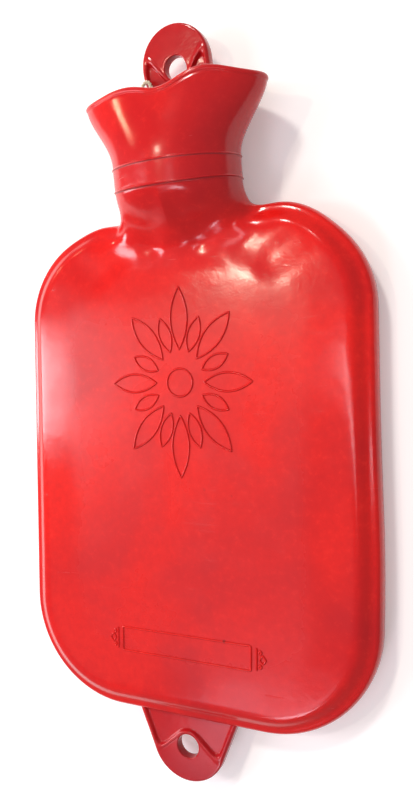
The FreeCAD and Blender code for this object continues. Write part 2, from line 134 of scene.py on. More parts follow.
# The V of two folds under the neck, and two softer ones beside it: start, end, reach to the
# left and to the right, and depth. Then the panel's one wide, shallow hollow.
FOLDS = (((14, 252), (4, 272), 6.0, 9.0, 1.6), ((25, 265), (14, 251), 6.0, 8.0, 1.3),
         ((50, 262), (32, 244), 9.0, 9.0, 0.9), ((70, 252), (46, 236), 9.0, 9.0, 0.8))
FOLD_ON = (-7.0, 12.0)
FOLD_OFF = (7.0, 13.0)
HOLLOW_DEPTH = 0.5
HOLLOW_ACROSS = (0.0, 60.0)
HOLLOW_ALONG = (133.0, 90.0)
DENTS_START = (6.0, 5.0)

# The skin's grid: columns over the roll, the crease and the panel, rows of the lining, where the
# rows start inside the outline, the heights on the middle line that they run to (in front and
# behind, at the ends of each stretch), and the rows that bring the columns to the neck's oval
FRONT_COLUMNS = (22, 14, 64)
BACK_COLUMNS = (12, 6, 14)
LINING_ROWS = 26
ROW_START = 20.0
BOTTOM_START = 30.0
SIDE_START = 80.0
HUB_REACH = 25.0
NECK_START = 18.0
SPINES = ((34, 34), (46, 46), (84, 84), (196, 196), (226, 226), (230, 230), (263, 268))
NECK_TURN_ROWS = 30
HALVINGS = 30

COS_LEAN = math.cos(NECK_LEAN)
SIN_LEAN = math.sin(NECK_LEAN)
WALLS = ("front_panel", "back_panel", "bag_rim", "neck_and_mouth")
bag_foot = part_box("lower_tab")[0].y / MM + BOTTOM_TAB_REACH


def ease(share):
    """A smooth step from 0 to 1."""
    share = np.clip(share, 0, 1)
    return share * share * (3 - 2 * share)


def ramp(value, start, width):
    """A smooth step from 0 at a start to 1 a width further on."""
    return ease((value - start) / width)


def swell(value, middle, reach):
    """A smooth hump of height 1 about a middle: a bell curve."""
    return np.exp(-((value - middle) / reach) ** 2)


def from_neck(x, back, s):
    """Points of the neck's leaning frame in the part's own frame, x across, y along, z up."""
    along = BAG_LENGTH + back * SIN_LEAN + s * COS_LEAN
    up = NECK_AXIS_HEIGHT - back * COS_LEAN + s * SIN_LEAN
    return np.stack(np.broadcast_arrays(x, bag_foot + along, up), axis=-1)


def swayed(points, share=1.0):
    """The old rubber's lopsided set: the right side bulges a little, the right shoulder rides
    up, and the neck and mouth lean to the right and sink, more and more towards the rim."""
    x, y, z = points[..., 0], points[..., 1], points[..., 2]
    h = y - bag_foot
    right = np.maximum(x, 0) / (BAG_WIDTH / 2)
    height = swell(h, *BULGE_SWELL) + BULGE_RAMP_SHARE * ramp(h, *BULGE_RAMP)
    bulge = SIDE_BULGE * right ** BULGE_POWER * height
    shoulder = SHOULDER_RIDE * (swell(x, *RIGHT_RIDE) + LEFT_RIDE_SHARE * swell(x, *LEFT_RIDE))
    shoulder = shoulder * ramp(h, *RIDE_ON) * (1 - ramp(h, *RIDE_OFF))
    lean = share * ramp(h - BAG_LENGTH, *LEAN_RAMP)
    sink = share * ramp(h - BAG_LENGTH, *SINK_RAMP)
    x = x * (1 + MOUTH_SPREAD * lean) + bulge * (1 - lean) + MOUTH_SWAY * lean
    return np.stack([x, y + shoulder, z - MOUTH_SINK * sink], axis=-1)


def circle(count):
    """Evenly spaced angles once round."""
    return np.linspace(0, 2 * math.pi, count, endpoint=False)


def bag_inset(x, h):
    """Distance inside the bag's outline: a rectangle with larger round corners at the bottom."""
    corner = np.where(h < BAG_LENGTH / 2, BOTTOM_CORNER, SHOULDER_CORNER)
    half = BAG_WIDTH / 2 - BAG_TAPER * h / BAG_LENGTH
    across = np.abs(x) - half + corner
    along = np.abs(h - BAG_LENGTH / 2) - BAG_LENGTH / 2 + corner
    beyond = np.hypot(np.maximum(across, 0), np.maximum(along, 0))
    return corner - beyond - np.minimum(np.maximum(across, along), 0)


def edge_drop(inset):
    """How far the front falls away outside the panel's edge: a slope that begins in a tight
    bend, so that the edge catches one crisp line of light, and fades out towards the outline."""
    beyond = EDGE_SOFTNESS * np.log1p(np.exp(np.clip((EDGE_INSET - inset) / EDGE_SOFTNESS, -30, 30)))
    return EDGE_SLOPE * beyond * ease(inset / 6.5)


def left_sag(x, h):
    """The slack left margin: the panel slopes down towards its left edge, and two sines make
    the slope deeper here and shallower there."""
    middle = SAG_MIDDLE + sum(shift * swell(h, *place) for shift, *place in SAG_SHIFTS)
    depth = SAG_DEPTH * ramp(h, *SAG_ON) * (1 - ramp(h, *SAG_OFF))
    depth = depth * (1 + SAG_DEEPER * ease((SAG_DEEPER_BELOW - h) / SAG_DEEPER_WIDTH))
    depth = depth * (1 + 0.25 * np.sin((h + 12) / 8.0) + 0.15 * np.sin(h / 3.9 + 1))
    return depth * ramp(-x, middle - SAG_WIDTH / 2, SAG_WIDTH)


def bag_field(x, h, z):
    """Below 0 inside the bag: a superellipse round the edge, from the seam in to the panel."""
    inset = bag_inset(x, h)
    roll = np.maximum(ROLL_WIDTH - inset, 0) / ROLL_WIDTH
    thick = ROLL_HEIGHT + PANEL_RISE * ease((inset - ROLL_WIDTH + CREASE_START) / CREASE_WIDTH)
    thick = thick - (z > SEAM_HEIGHT) * (edge_drop(inset) + left_sag(x, h) * ease(inset / 9))
    rise = np.abs(z - SEAM_HEIGHT) / thick
    return thick * ((roll ** ROLL_POWER + rise ** ROLL_POWER) ** (1 / ROLL_POWER) - 1)


def flare(s):
    """How far the neck has opened out to the mouth, 0 to 1."""
    return ease((s - FLARE_START) / (MOUTH_HEIGHT + RIM_HUMP - FLARE_START))


def rings(s):
    """The two thin moulded rings: small round ridges round the neck."""
    ridge = 0
    for height in (LOW_RING, TOP_RING):
        ridge = ridge + RING_RISE * np.exp(-((s - height) / RING_HALF_WIDTH * 1.6) ** 2)
    return ridge


def settle(s):
    """How far the neck's ovals have sunk from the neck's axis to the bag's middle plane, 0 to 1."""
    return 1 - ease((s + NECK_ROOT_DEPTH) / (NECK_ROOT_DEPTH + LOW_RING))


def neck_centre(s):
    """How far the oval's centre lies in front of or behind the neck's axis."""
    drop = (NECK_AXIS_HEIGHT + s * SIN_LEAN - SEAM_HEIGHT) / COS_LEAN
    return settle(s) * drop


def neck_half_width(s):
    """Half the neck's width: spread at the shoulder, straight at the ferrule, flared at the mouth."""
    spread = 1 - np.clip((s + NECK_ROOT_DEPTH) / (NECK_ROOT_DEPTH + 6), 0, 1)
    width = NECK_WIDTH + (NECK_ROOT_WIDTH - NECK_WIDTH) * spread ** 3
    return (width + (MOUTH_WIDTH - NECK_WIDTH) * flare(s)) / 2 + rings(s)


def neck_half_depth(s):
    """Half the neck's depth: as thick as the bag at its root, with its back just off the table."""
    axis = NECK_AXIS_HEIGHT + s * SIN_LEAN
    centre = axis + settle(s) * (SEAM_HEIGHT - axis)
    low = centre / COS_LEAN - NECK_CLEARANCE
    over = np.maximum(4 - np.abs(low - NECK_DEPTH / 2), 0) / 4
    low = np.minimum(low, NECK_DEPTH / 2) - over ** 2
    low = low - NECK_ROOT_SINK * (1 - ease((s + NECK_ROOT_DEPTH) / NECK_ROOT_DEPTH))
    high = (NECK_DEPTH + (MOUTH_DEPTH - NECK_DEPTH) * flare(s)) / 2
    return np.where(s < LOW_RING, low, high) + rings(s)


def neck_field(x, h, z):
    """Below 0 inside the neck: the distance to its oval, and to a flat foot inside the bag."""
    along = h - BAG_LENGTH
    up = z - NECK_AXIS_HEIGHT
    s = along * COS_LEAN + up * SIN_LEAN
    back = along * SIN_LEAN - up * COS_LEAN - neck_centre(s)
    width = neck_half_width(s)
    depth = neck_half_depth(s)
    share = np.hypot(x / width, back / depth)
    slope = np.hypot(x / width ** 2, back / depth ** 2) + 1e-9
    return np.maximum(share * (share - 1) / slope, -NECK_FOOT - s)


def body_field(x, h, z):
    """The smooth union of bag and neck: where both are near, the skin is drawn out into a fillet,
    and into a much longer one in front."""
    bag = bag_field(x, h, z)
    neck = neck_field(x, h, z)
    blend = BLEND + FRONT_BLEND * ramp(z - SEAM_HEIGHT, 4, 8) * swell(x, 0, 30)
    near = np.maximum(blend - np.abs(bag - neck), 0) / blend
    s = (h - BAG_LENGTH) * COS_LEAN + (z - NECK_AXIS_HEIGHT) * SIN_LEAN
    fade = ramp(h, BAG_LENGTH - NECK_FOOT, FILLET_FADE) * (1 - ramp(s, 3, NECK_STRAIGHT - 3))
    return np.minimum(bag, neck) - near ** 3 * blend / 6 * fade


def middle_height(x, h):
    """The height at which a place of the plan lies deepest in the body, by golden section."""
    ratio = (math.sqrt(5) - 1) / 2
    low = np.full(np.shape(x), 5.0)
    high = np.full(np.shape(x), 32.0)
    for _ in range(26):
        first = high - ratio * (high - low)
        second = low + ratio * (high - low)
        lower = body_field(x, h, first) < body_field(x, h, second)
        high = np.where(lower, second, high)
        low = np.where(lower, low, first)
    return (low + high) / 2


def skin_height(x, h, side):
    """The height of the front skin (side 1) or the back skin (side -1), by halving steps."""
    start = middle_height(x, h)
    near = np.zeros(np.shape(x))
    far = np.full(np.shape(x), 45.0)
    for _ in range(HALVINGS):
        half = (near + far) / 2
        inside = body_field(x, h, start + side * half) < 0
        near = np.where(inside, half, near)
        far = np.where(inside, far, half)
    return start + side * near


def fold(x, h, start, end, inner, outer, depth):
    """A hollow along a line: steep on its left, seen from start to end, and gentle on its right."""
    ahead = np.array(end) - np.array(start)
    length = np.hypot(*ahead)
    ahead = ahead / length
    along = (x - start[0]) * ahead[0] + (h - start[1]) * ahead[1]
    aside = (x - start[0]) * ahead[1] - (h - start[1]) * ahead[0]
    fade = ramp(along, *FOLD_ON) * ease((length + FOLD_OFF[0] - along) / FOLD_OFF[1])
    return -depth * swell(aside, 0, np.where(aside < 0, inner, outer)) * fade


def front_dents(x, h):
    """The soft dents of the old rubber: the folds below the neck, and the panel's hollow."""
    hollow = HOLLOW_DEPTH * swell(x, *HOLLOW_ACROSS) * swell(h, *HOLLOW_ALONG)
    return sum(fold(x, h, *line) for line in FOLDS) - hollow


def front_height(x, h):
    """The front skin: the union's upper side, with the dents wherever it lies well above the seam."""
    base = skin_height(x, h, 1)
    return base + ramp(base - SEAM_HEIGHT, *DENTS_START) * front_dents(x, h)


def back_height(x, h):
    """The back skin: the union's lower side, pressed flat where it would sink into the table."""
    base = skin_height(x, h, -1)
    return (base + BACK_LOW + np.hypot(base - BACK_LOW, BACK_SOFTNESS)) / 2


def stretch(count, first, last):
    """Evenly spaced values between two, without the last one, since another stretch follows."""
    return np.linspace(first, last, count, endpoint=False)


def outline_rows():
    """Where each row of the skin starts: a place inside the outline, the way outwards, and
    the height on the middle line that the row runs to, in front and behind. The rows go
    from the bottom edge round the bag's corner, up its side, round the shoulder and the
    fillet, to the foot of the neck."""
    low = BAG_WIDTH / 2 - BOTTOM_CORNER
    high = BAG_WIDTH / 2 - SHOULDER_CORNER
    shoulder = BAG_LENGTH - SHOULDER_CORNER
    hub = NECK_WIDTH / 2 + FILLET
    top = BAG_LENGTH + NECK_STRAIGHT * COS_LEAN
    tilt = neck_half_depth(NECK_STRAIGHT) * SIN_LEAN
    quarter = math.pi / 2
    bottom_turn = stretch(46, -quarter, 0)
    side_turn = stretch(44, 0, quarter)
    hub_turn = stretch(24, quarter, 0)
    stretches = (
        (stretch(20, 0, low), BOTTOM_START, -quarter),
        (low + ROW_START * np.cos(bottom_turn), BOTTOM_CORNER + ROW_START * np.sin(bottom_turn),
         bottom_turn),
        (SIDE_START, stretch(64, BOTTOM_CORNER, shoulder), 0.0),
        (high + ROW_START * np.cos(side_turn), shoulder + ROW_START * np.sin(side_turn), side_turn),
        (stretch(4, high, hub), shoulder + ROW_START, quarter),
        (hub - HUB_REACH * np.cos(hub_turn), BAG_LENGTH + FILLET - HUB_REACH * np.sin(hub_turn),
         hub_turn),
        (NECK_START, stretch(4, BAG_LENGTH + FILLET, top), 0.0))
    spines = (*SPINES, (top - tilt, top + tilt))
    parts = []
    for (x, h, turn), first, last in zip(stretches, spines, spines[1:]):
        count = len(np.atleast_1d(x + h + turn))
        x, h, turn = (np.broadcast_to(value, count) for value in (x, h, turn))
        front, back = stretch(count, first[0], last[0]), stretch(count, first[1], last[1])
        parts.append(np.stack([x, h, np.cos(turn), np.sin(turn), front, back], axis=-1))
    return np.concatenate(parts)


def outline_points(rows):
    """The outline's own point on each row: where even the deepest height just leaves the body."""
    near = np.zeros(len(rows))
    far = np.full(len(rows), 60.0)
    for _ in range(HALVINGS):
        half = (near + far) / 2
        x = rows[:, 0] + half * rows[:, 2]
        h = rows[:, 1] + half * rows[:, 3]
        inside = body_field(x, h, middle_height(x, h)) < 0
        near = np.where(inside, half, near)
        far = np.where(inside, far, half)
    return rows[:, 0] + near * rows[:, 2], rows[:, 1] + near * rows[:, 3]


def column_shares(count_roll, count_crease, count_panel):
    """Distances in from the outline over the roll and the crease, and shares of the way from
    there to the middle line."""
    turn = stretch(count_roll, 0, math.pi / 2)
    roll = (ROLL_WIDTH - CREASE_START) * (1 - np.cos(turn) ** (2 / ROLL_POWER))
    crease = stretch(count_crease, ROLL_WIDTH - CREASE_START, ROLL_WIDTH + CREASE_WIDTH)
    return np.concatenate([roll, crease]), np.linspace(0, 1, count_panel + 1)


def quarter_plan(rows, edge_x, edge_h, spine, counts):
    """The plan of one quarter of the skin. Each row leaves the outline square to it, and then
    bends in a cubic curve to the middle line. Towards the neck the columns move over to
    evenly turned places round the oval."""
    inward, shares = column_shares(*counts)
    total = len(inward) + len(shares)
    a = inward[None, :]
    start = ROLL_WIDTH + CREASE_WIDTH
    near_x = edge_x[:, None] - a * rows[:, 2:3]
    near_h = edge_h[:, None] - a * rows[:, 3:4]
    begin_x = edge_x - start * rows[:, 2]
    begin_h = edge_h - start * rows[:, 3]
    pull = 0.4 * np.hypot(begin_x, begin_h - spine)
    t = shares[None, :]
    keys = ((1 - t) ** 3, 3 * t * (1 - t) ** 2, 3 * t * t * (1 - t), t ** 3)
    lean_x = begin_x - pull * rows[:, 2]
    lean_h = begin_h - pull * rows[:, 3]
    far_x = (keys[0] * begin_x[:, None] + keys[1] * lean_x[:, None]
             + keys[2] * np.minimum(pull, begin_x)[:, None])
    far_h = (keys[0] * begin_h[:, None] + keys[1] * lean_h[:, None]
             + (keys[2] + keys[3]) * spine[:, None])
    bag_x = np.concatenate([near_x, far_x], axis=1)
    bag_h = np.concatenate([near_h, far_h], axis=1)
    turn = np.linspace(0, math.pi / 2, total)[None, :]
    neck_x = edge_x[:, None] * np.cos(turn)
    neck_h = edge_h[:, None] + (spine - edge_h)[:, None] * np.sin(turn)
    count = len(rows)
    weight = ramp(np.arange(count), count - NECK_TURN_ROWS, NECK_TURN_ROWS)[:, None]
    return bag_x + (neck_x - bag_x) * weight, bag_h + (neck_h - bag_h) * weight


def full_rows(front, back, mirror):
    """Closed rows: over the front from the right outline to the left, and back underneath. The
    left half is the right one times mirror."""
    return np.concatenate([front, front[:, -2::-1] * mirror,
                           back[:, 1:] * mirror, back[:, -2:0:-1]], axis=1)


def neck_turns():
    """The angles of the columns round the neck, right outline first, over the front."""
    front = sum(FRONT_COLUMNS)
    back = sum(BACK_COLUMNS)
    over = np.linspace(0, math.pi, 2 * front + 1)
    under = math.pi + np.linspace(0, math.pi, 2 * back + 1)
    return np.concatenate([over, under[1:-1]])


def rim_height(x):
    """Height of the mouth's wavy edge, at a place across it, with the set that it has taken."""
    share = np.clip(np.abs(x) / (MOUTH_WIDTH / 2), 0, 1)
    taken = sum(height * swell(x, *place) for height, *place in RIM_SET)
    wave = RIM_HUMP * np.sin(math.pi * share) ** 2 - RIM_DIP * swell(x, 0, RIM_DIP_REACH)
    return MOUTH_HEIGHT + wave + taken


def wavy(s, turn):
    """A height on the neck that follows the rim's wave more and more towards the rim."""
    share = ramp(s, RIM_WAVE_START, MOUTH_HEIGHT - RIM_WAVE_START)
    return s + share * (rim_height(neck_half_width(s) * np.cos(turn)) - MOUTH_HEIGHT)


def oval_rows(s, turn, shrink_width, shrink_depth):
    """Rows of an oval skin round the neck, drawn in by a wall's thickness."""
    height = wavy(s, turn)
    x = (neck_half_width(s) - shrink_width) * np.cos(turn)
    back = neck_centre(s) - (neck_half_depth(s) - shrink_depth) * np.sin(turn)
    return from_neck(x, back, height)


def neck_heights():
    """Heights of the neck's rows, close together over the two rings."""
    def ring(height):
        """Rows across one ring."""
        return np.linspace(height - 1.2, height + 1.2, 17)

    return np.concatenate([[NECK_STRAIGHT], ring(LOW_RING), np.linspace(16.4, 23.2, 8),
                           ring(TOP_RING), np.linspace(28, MOUTH_HEIGHT - BEAD_RADIUS, 32)])


NECK_HEIGHTS = neck_heights()


def neck_rows():
    """The outer skin of the neck and mouth."""
    return oval_rows(NECK_HEIGHTS[:, None], neck_turns()[None, :], 0, 0)


def ring_line(s):
    """Painted shade, with a little grime, along the lower side of each moulded ring."""
    return swell(s, LOW_RING - 0.5, 0.35) + swell(s, TOP_RING - 0.5, 0.35)


def crease_line(x, h, z):
    """Painted shade, with a little grime, along the mould's parting line round the bag's edge."""
    return 0.7 * swell(z, SEAM_HEIGHT, 0.5) * (bag_inset(x, h) < 3)


def bead_rows():
    """The rim's rolled bead: half a circle and more, carried round the wavy edge."""
    roll = np.linspace(math.radians(-50), math.radians(215), 18)[:, None]
    turn = neck_turns()[None, :]
    half_width = neck_half_width(MOUTH_HEIGHT) - WALL / 2
    half_depth = neck_half_depth(MOUTH_HEIGHT) - WALL / 2
    out_x = np.cos(turn) / half_width
    out_back = -np.sin(turn) / half_depth
    size = np.hypot(out_x, out_back)
    reach = BEAD_RADIUS * np.cos(roll)
    x = half_width * np.cos(turn) + reach * out_x / size
    back = -half_depth * np.sin(turn) + reach * out_back / size
    return from_neck(x, back, wavy(np.float64(MOUTH_HEIGHT), turn) + BEAD_RADIUS * np.sin(roll))


def lining_rows():
    """The funnel's inside, from the bead down to the floor round the ferrule."""
    s = np.linspace(MOUTH_HEIGHT - BEAD_RADIUS, FERRULE_TOP, LINING_ROWS)[:, None]
    thick = ((MOUTH_HEIGHT - s) / (MOUTH_HEIGHT - FERRULE_TOP)) ** 2
    wall_width = WALL + (neck_half_width(FERRULE_TOP) - 22.8 - WALL) * thick
    wall_depth = WALL + (neck_half_depth(FERRULE_TOP) - 20.0 - WALL) * thick
    wall = oval_rows(s, neck_turns()[None, :], wall_width, wall_depth)
    turn = neck_turns()[None, :]
    radius = np.array([20.0, 18.0, 16.6, 14.2, 14.2, 14.2, 7.0, 0.0])[:, None]
    depth = np.array([0.0, 0.0, 0.0, 0.0, 10.0, 22.2, 22.2, 22.2])[:, None]
    floor = from_neck(radius * np.cos(turn), -radius * np.sin(turn), FERRULE_TOP - 0.1 - depth)
    return np.concatenate([wall, floor])


def mesh_piece(name, points, faces, weld=False, marks=None):
    """A mesh object from points in millimetres, smooth all over. Marks are values for each
    point that the material reads, such as where painted shade lies."""
    mesh = bpy.data.meshes.new(name)
    mesh.from_pydata(points.reshape(-1, 3) * MM, [], faces.tolist())
    for mark, share in (marks or {}).items():
        values = mesh.attributes.new(mark, "FLOAT", "POINT")
        values.data.foreach_set("value", np.ascontiguousarray(share, dtype=np.float32).ravel())
    if weld:
        work = bmesh.new()
        work.from_mesh(mesh)
        bmesh.ops.remove_doubles(work, verts=work.verts, dist=2e-6)
        bmesh.ops.recalc_face_normals(work, faces=work.faces)
        work.to_mesh(mesh)
        work.free()
    mesh.polygons.foreach_set("use_smooth", np.ones(len(mesh.polygons), bool))
    mesh.update()
    piece = bpy.data.objects.new(name, mesh)
    bpy.context.scene.collection.objects.link(piece)
    return piece


def grid_faces(rows, columns, around=False, over=False):
    """Four-sided faces of a grid, closed along its columns or its rows where asked."""
    index = np.arange(rows * columns).reshape(rows, columns)
    if around:
        index = np.concatenate([index, index[:, :1]], axis=1)
    if over:
        index = np.concatenate([index, index[:1]], axis=0)
    return np.stack([index[:-1, :-1], index[:-1, 1:], index[1:, 1:], index[1:, :-1]],
                    axis=-1).reshape(-1, 4)


def bottle_skin():
    """The whole bottle as one skin of closed rows: bag, neck, rim and the mouth's lining."""
    rows = outline_rows()
    edge_x, edge_h = outline_points(rows)
    halves, creases = [], []
    for column, counts, height in ((4, FRONT_COLUMNS, front_height), (5, BACK_COLUMNS, back_height)):
        x, h = quarter_plan(rows, edge_x, edge_h, rows[:, column], counts)
        z = height(x, h)
        z[:, 0] = middle_height(edge_x, edge_h)
        halves.append(np.stack([x, h + bag_foot, z], axis=-1))
        # The crease mark: painted shade, with a little grime, along the parting line
        creases.append(crease_line(x, h, z)[..., None])
    bag_crease = full_rows(*creases, 1)[..., 0]
    neck, bead = neck_rows(), bead_rows()
    # Painted shade under each moulded ring
    ring_crease = 0.9 * ring_line(NECK_HEIGHTS)[:, None] * np.ones(neck.shape[1])
    outside = np.concatenate([full_rows(*halves, np.array([-1, 1, 1])), neck, bead])
    lining = lining_rows()
    share = np.zeros(len(lining))
    share[:LINING_ROWS] = 1 - ease(np.linspace(0, 1, LINING_ROWS))
    skin = np.concatenate([swayed(outside), swayed(lining, share[:, None])])
    rest = np.zeros((len(bead) + len(lining), neck.shape[1]))
    crease = np.concatenate([bag_crease, ring_crease, rest])
    faces = grid_faces(skin.shape[0], skin.shape[1], around=True)
    h = skin[..., 1] - bag_foot
    worn = ramp(bag_inset(skin[..., 0], h), 24, 16) * (1 - ramp(h, 205, 30))
    # Painted shade on the right side of the neck and mouth, and a deeper red towards the bag's foot
    painted_shade_and_deeper_red = 0.6 * ease(skin[..., 0] / 34) * ramp(h, BAG_LENGTH - 6, 20) + 0.3 * ease((120 - h) / 90)
    marks = {"crease": crease, "worn": worn, "painted_shade_and_deeper_red": painted_shade_and_deeper_red}
    return mesh_piece("bottle_skin", skin, faces, weld=True, marks=marks)


# Hanging tabs
TAB_THICKNESS = 6.0
TAB_EASE = 1.2
HOLE_RADIUS = 6.3
HOLE_EASE = 0.7
HILL_RADIUS = 8.4
HILL_BEAD = 0.45
POCKET_DEPTH = 1.7
POCKET_INSET = 1.0
POCKET_ROUND = 5.0
BORDER_WIDTH = 2.4
TOP_TAB_FRONT = 17.5
TOP_TAB_HOLE = 77.3
BOTTOM_TAB_FRONT = 15.5
BOTTOM_TAB_HOLE = 15.8
TOP_TAB = {"root_half": 20.5, "root": -29.3, "tip_radius": 19.5, "tip": 22.2, "pocket_tip": 8.0}
BOTTOM_TAB = {"root_half": 31.0, "root": -21.8, "tip_radius": 21.5, "tip": 18.9, "pocket_tip": 4.6}
TAB_TURNS = 320


def tangent_turn(x, y, radius):
    """The angle at which the line from a far point touches a circle about the origin."""
    return math.atan2(y, x) - math.acos(radius / math.hypot(x, y))


def tab_inset(p, q, root_half, root, tip_radius, tip, pocket_tip):
    """Distance inside the tab's outline: a round tip, and straight sides that run tangent to it."""
    middle = tip - tip_radius
    away = (root_half, root - middle)
    turn = math.atan2(away[1], away[0]) + math.acos(tip_radius / math.hypot(*away))
    across, along = np.abs(p), q - middle
    side = tip_radius - (across * math.cos(turn) + along * math.sin(turn))
    point = np.arctan2(along, across)
    edge = np.where(point > turn, tip_radius - np.hypot(across, along), side)
    return np.minimum(edge, q - root)


def hill_inset(p, q, tip_radius, pocket_tip):
    """Distance inside the hill line: a circle's lower part, and the lines that rise from it,
    tangent, to the tips of the two pockets."""
    far = tip_radius - BORDER_WIDTH - POCKET_INSET
    turn = tangent_turn(far, pocket_tip, HILL_RADIUS)
    across = np.abs(p)
    line = HILL_RADIUS - (across * math.cos(turn) + q * math.sin(turn))
    below = np.arctan2(q, across) < turn
    return np.where(below, HILL_RADIUS - np.hypot(across, q), line)


def tab_front(p, q, shape):
    """The front face's depth: two pockets beside the hill, a soft bead along the hill's edge."""
    border = BORDER_WIDTH - tab_inset(p, q, **shape)
    inset = hill_inset(p, q, shape["tip_radius"], shape["pocket_tip"])
    near = np.maximum(POCKET_ROUND - np.abs(border - inset), 0) / POCKET_ROUND
    wall = np.maximum(border, inset) + near * near * POCKET_ROUND / 4
    raised = ease((wall + 0.9) / 1.1)
    bead = HILL_BEAD * swell(wall, 0.7, 0.8)
    return -POCKET_DEPTH * (1 - raised) + bead


def tab_rows(shape):
    """A tab as closed rows: up the hole's wall, over the front face to the outline, round the
    edge, and back underneath. Columns turn about the hole."""
    turn = circle(TAB_TURNS)
    near = np.zeros(TAB_TURNS)
    far = np.full(TAB_TURNS, 90.0)
    for _ in range(34):
        half = (near + far) / 2
        inside = tab_inset(half * np.cos(turn), half * np.sin(turn), **shape) > 0
        near = np.where(inside, half, near)
        far = np.where(inside, far, half)
    edge = near[None, :]
    roll = np.linspace(0, math.pi / 2, 6)[:, None]
    hole_top = HOLE_RADIUS + HOLE_EASE * (1 - np.cos(roll)) + 0 * edge
    hole_top_z = -HOLE_EASE * (1 - np.sin(roll)) + 0 * edge
    share = np.linspace(0, 1, 58)[1:-1, None]
    face = HOLE_RADIUS + HOLE_EASE + (edge - TAB_EASE - HOLE_RADIUS - HOLE_EASE) * share
    rim = edge - TAB_EASE + TAB_EASE * np.sin(roll)
    rim_z = -TAB_EASE * (1 - np.cos(roll)) + 0 * edge
    back = face[::-6]
    radius = np.concatenate([hole_top, face, rim, rim[::-1], back, hole_top[::-1]])
    depth = np.concatenate([hole_top_z, 0 * face, rim_z, -TAB_THICKNESS - rim_z[::-1],
                            0 * back - TAB_THICKNESS, -TAB_THICKNESS - hole_top_z[::-1]])
    p, q = radius * np.cos(turn), radius * np.sin(turn)
    count = len(hole_top) + len(face) + len(rim)
    depth[:count] += tab_front(p[:count], q[:count], shape)
    return p, q, depth


def top_tab():
    """The upper tab, one with the mouth's back wall: it follows the sunken mouth at its root."""
    p, q, depth = tab_rows(TOP_TAB)
    s = TOP_TAB_HOLE + q
    root = 1 - ramp(s, 54, 26)
    lift = 2.8 * ease((-q - 12) / 12) * (depth < -TAB_THICKNESS / 2)
    points = from_neck(p, TOP_TAB_FRONT - depth - lift, s)
    points[..., 0] += MOUTH_SWAY * root - TOP_TAB_SWAY * (1 - root)
    points[..., 2] -= MOUTH_SINK * root
    return points


def bottom_tab():
    """The lower tab, which grows out of the bag's bottom edge."""
    p, q, depth = tab_rows(BOTTOM_TAB)
    return np.stack([-p - BOTTOM_TAB_SWAY, bag_foot - BOTTOM_TAB_HOLE - q,
                     BOTTOM_TAB_FRONT + depth], axis=-1)


def tab_piece(name, points):
    """A tab's mesh, all of it of a deeper, purplish red."""
    faces = grid_faces(points.shape[0], points.shape[1], around=True, over=True)
    return mesh_piece(name, points, faces, weld=True, marks={"painted_shade_and_deeper_red": np.full(points.shape[:2], 0.85)})


# Screw ferrule, stopper and washer, all turned about the neck's axis
FERRULE_FOOT = 6.0
FERRULE_RADIUS = 17.0
ANCHOR_RADIUS = 19.0
ANCHOR_WIDTH = 1.6
THREAD_PITCH = 3.5
THREAD_DEPTH = 0.9
THREAD_ROOT = 12.6
THREAD_FIT = 0.1
SHANK_FOOT = 14.0
FLANGE_FOOT = 30.7
FLANGE_TOP = 33.7
FLANGE_RADIUS = 17.5
WAIST_RADIUS = 5.5
GRIP_FOOT = 38.7
GRIP_TOP = 54.7
GRIP_WIDTH = 26.0
GRIP_THICKNESS = 9.0
GRIP_POWER = 0.42
GRIP_PINCH = 0.22
WASHER_FOOT = 28.1
WASHER_TOP = 30.6
WASHER_BORE = 13.65
WASHER_RADIUS = 17.8
ROUND_COLUMNS = 160


def thread(s, turn):
    """The screw's rounded ridge, 0 to 1: a cosine that climbs one pitch for each turn."""
    return 0.5 + 0.5 * np.cos(2 * math.pi * s / THREAD_PITCH - turn)


def turned(radius, s):
    """Rows of rings about the neck's axis, from a profile of radii and heights."""
    turn = circle(ROUND_COLUMNS)[None, :]
    radius, s = np.broadcast_arrays(radius, s)
    return from_neck(radius * np.cos(turn), radius * np.sin(turn), s)


def arc_profile(centre_r, centre_s, radius, first, last, count=7):
    """A rounded edge of a turned profile, between two angles in degrees."""
    turn = np.radians(np.linspace(first, last, count))
    return centre_r + radius * np.cos(turn), centre_s + radius * np.sin(turn)


def profile(*parts):
    """Join stretches of a turned profile: single points, or arcs."""
    radius = np.concatenate([np.atleast_1d(part[0]) for part in parts])
    s = np.concatenate([np.atleast_1d(part[1]) for part in parts])
    return radius[:, None], s[:, None]


def brass_ferrule():
    """The ferrule: anchor flanges outside, and a nut thread that the stopper's screw fits."""
    turn = circle(ROUND_COLUMNS)[None, :]
    s = np.linspace(FERRULE_FOOT + 0.4, FERRULE_TOP - 0.4, 110)[:, None]
    deep = ramp(s, FERRULE_FOOT + 0.5, 2.5) * (1 - ramp(s, FERRULE_TOP - 2.4, 1.8))
    root = THREAD_ROOT + THREAD_DEPTH + THREAD_FIT
    bore = root - THREAD_DEPTH * deep * (1 - thread(s, turn))
    inside = from_neck(bore * np.cos(turn), bore * np.sin(turn), s)
    parts = [arc_profile(root + 0.4, FERRULE_TOP - 0.4, 0.4, 180, 90, 5),
             arc_profile(FERRULE_RADIUS - 0.4, FERRULE_TOP - 0.4, 0.4, 90, 0, 5)]
    for height in (TOP_RING, LOW_RING):
        half = ANCHOR_WIDTH / 2
        parts += [(FERRULE_RADIUS, height + half), (ANCHOR_RADIUS, height + half),
                  (ANCHOR_RADIUS, height - half), (FERRULE_RADIUS, height - half)]
    parts += [(FERRULE_RADIUS, FERRULE_FOOT + 0.3), (FERRULE_RADIUS - 0.3, FERRULE_FOOT),
              (root, FERRULE_FOOT)]
    points = np.concatenate([inside, turned(*profile(*parts))])
    faces = grid_faces(len(points), ROUND_COLUMNS, True, True)
    return mesh_piece("brass_ferrule", points, faces, weld=True)


def squared(value, power):
    """A sine or cosine with its size raised to a power: below 1 it squares a circle's corners."""
    return np.sign(value) * np.abs(value) ** power


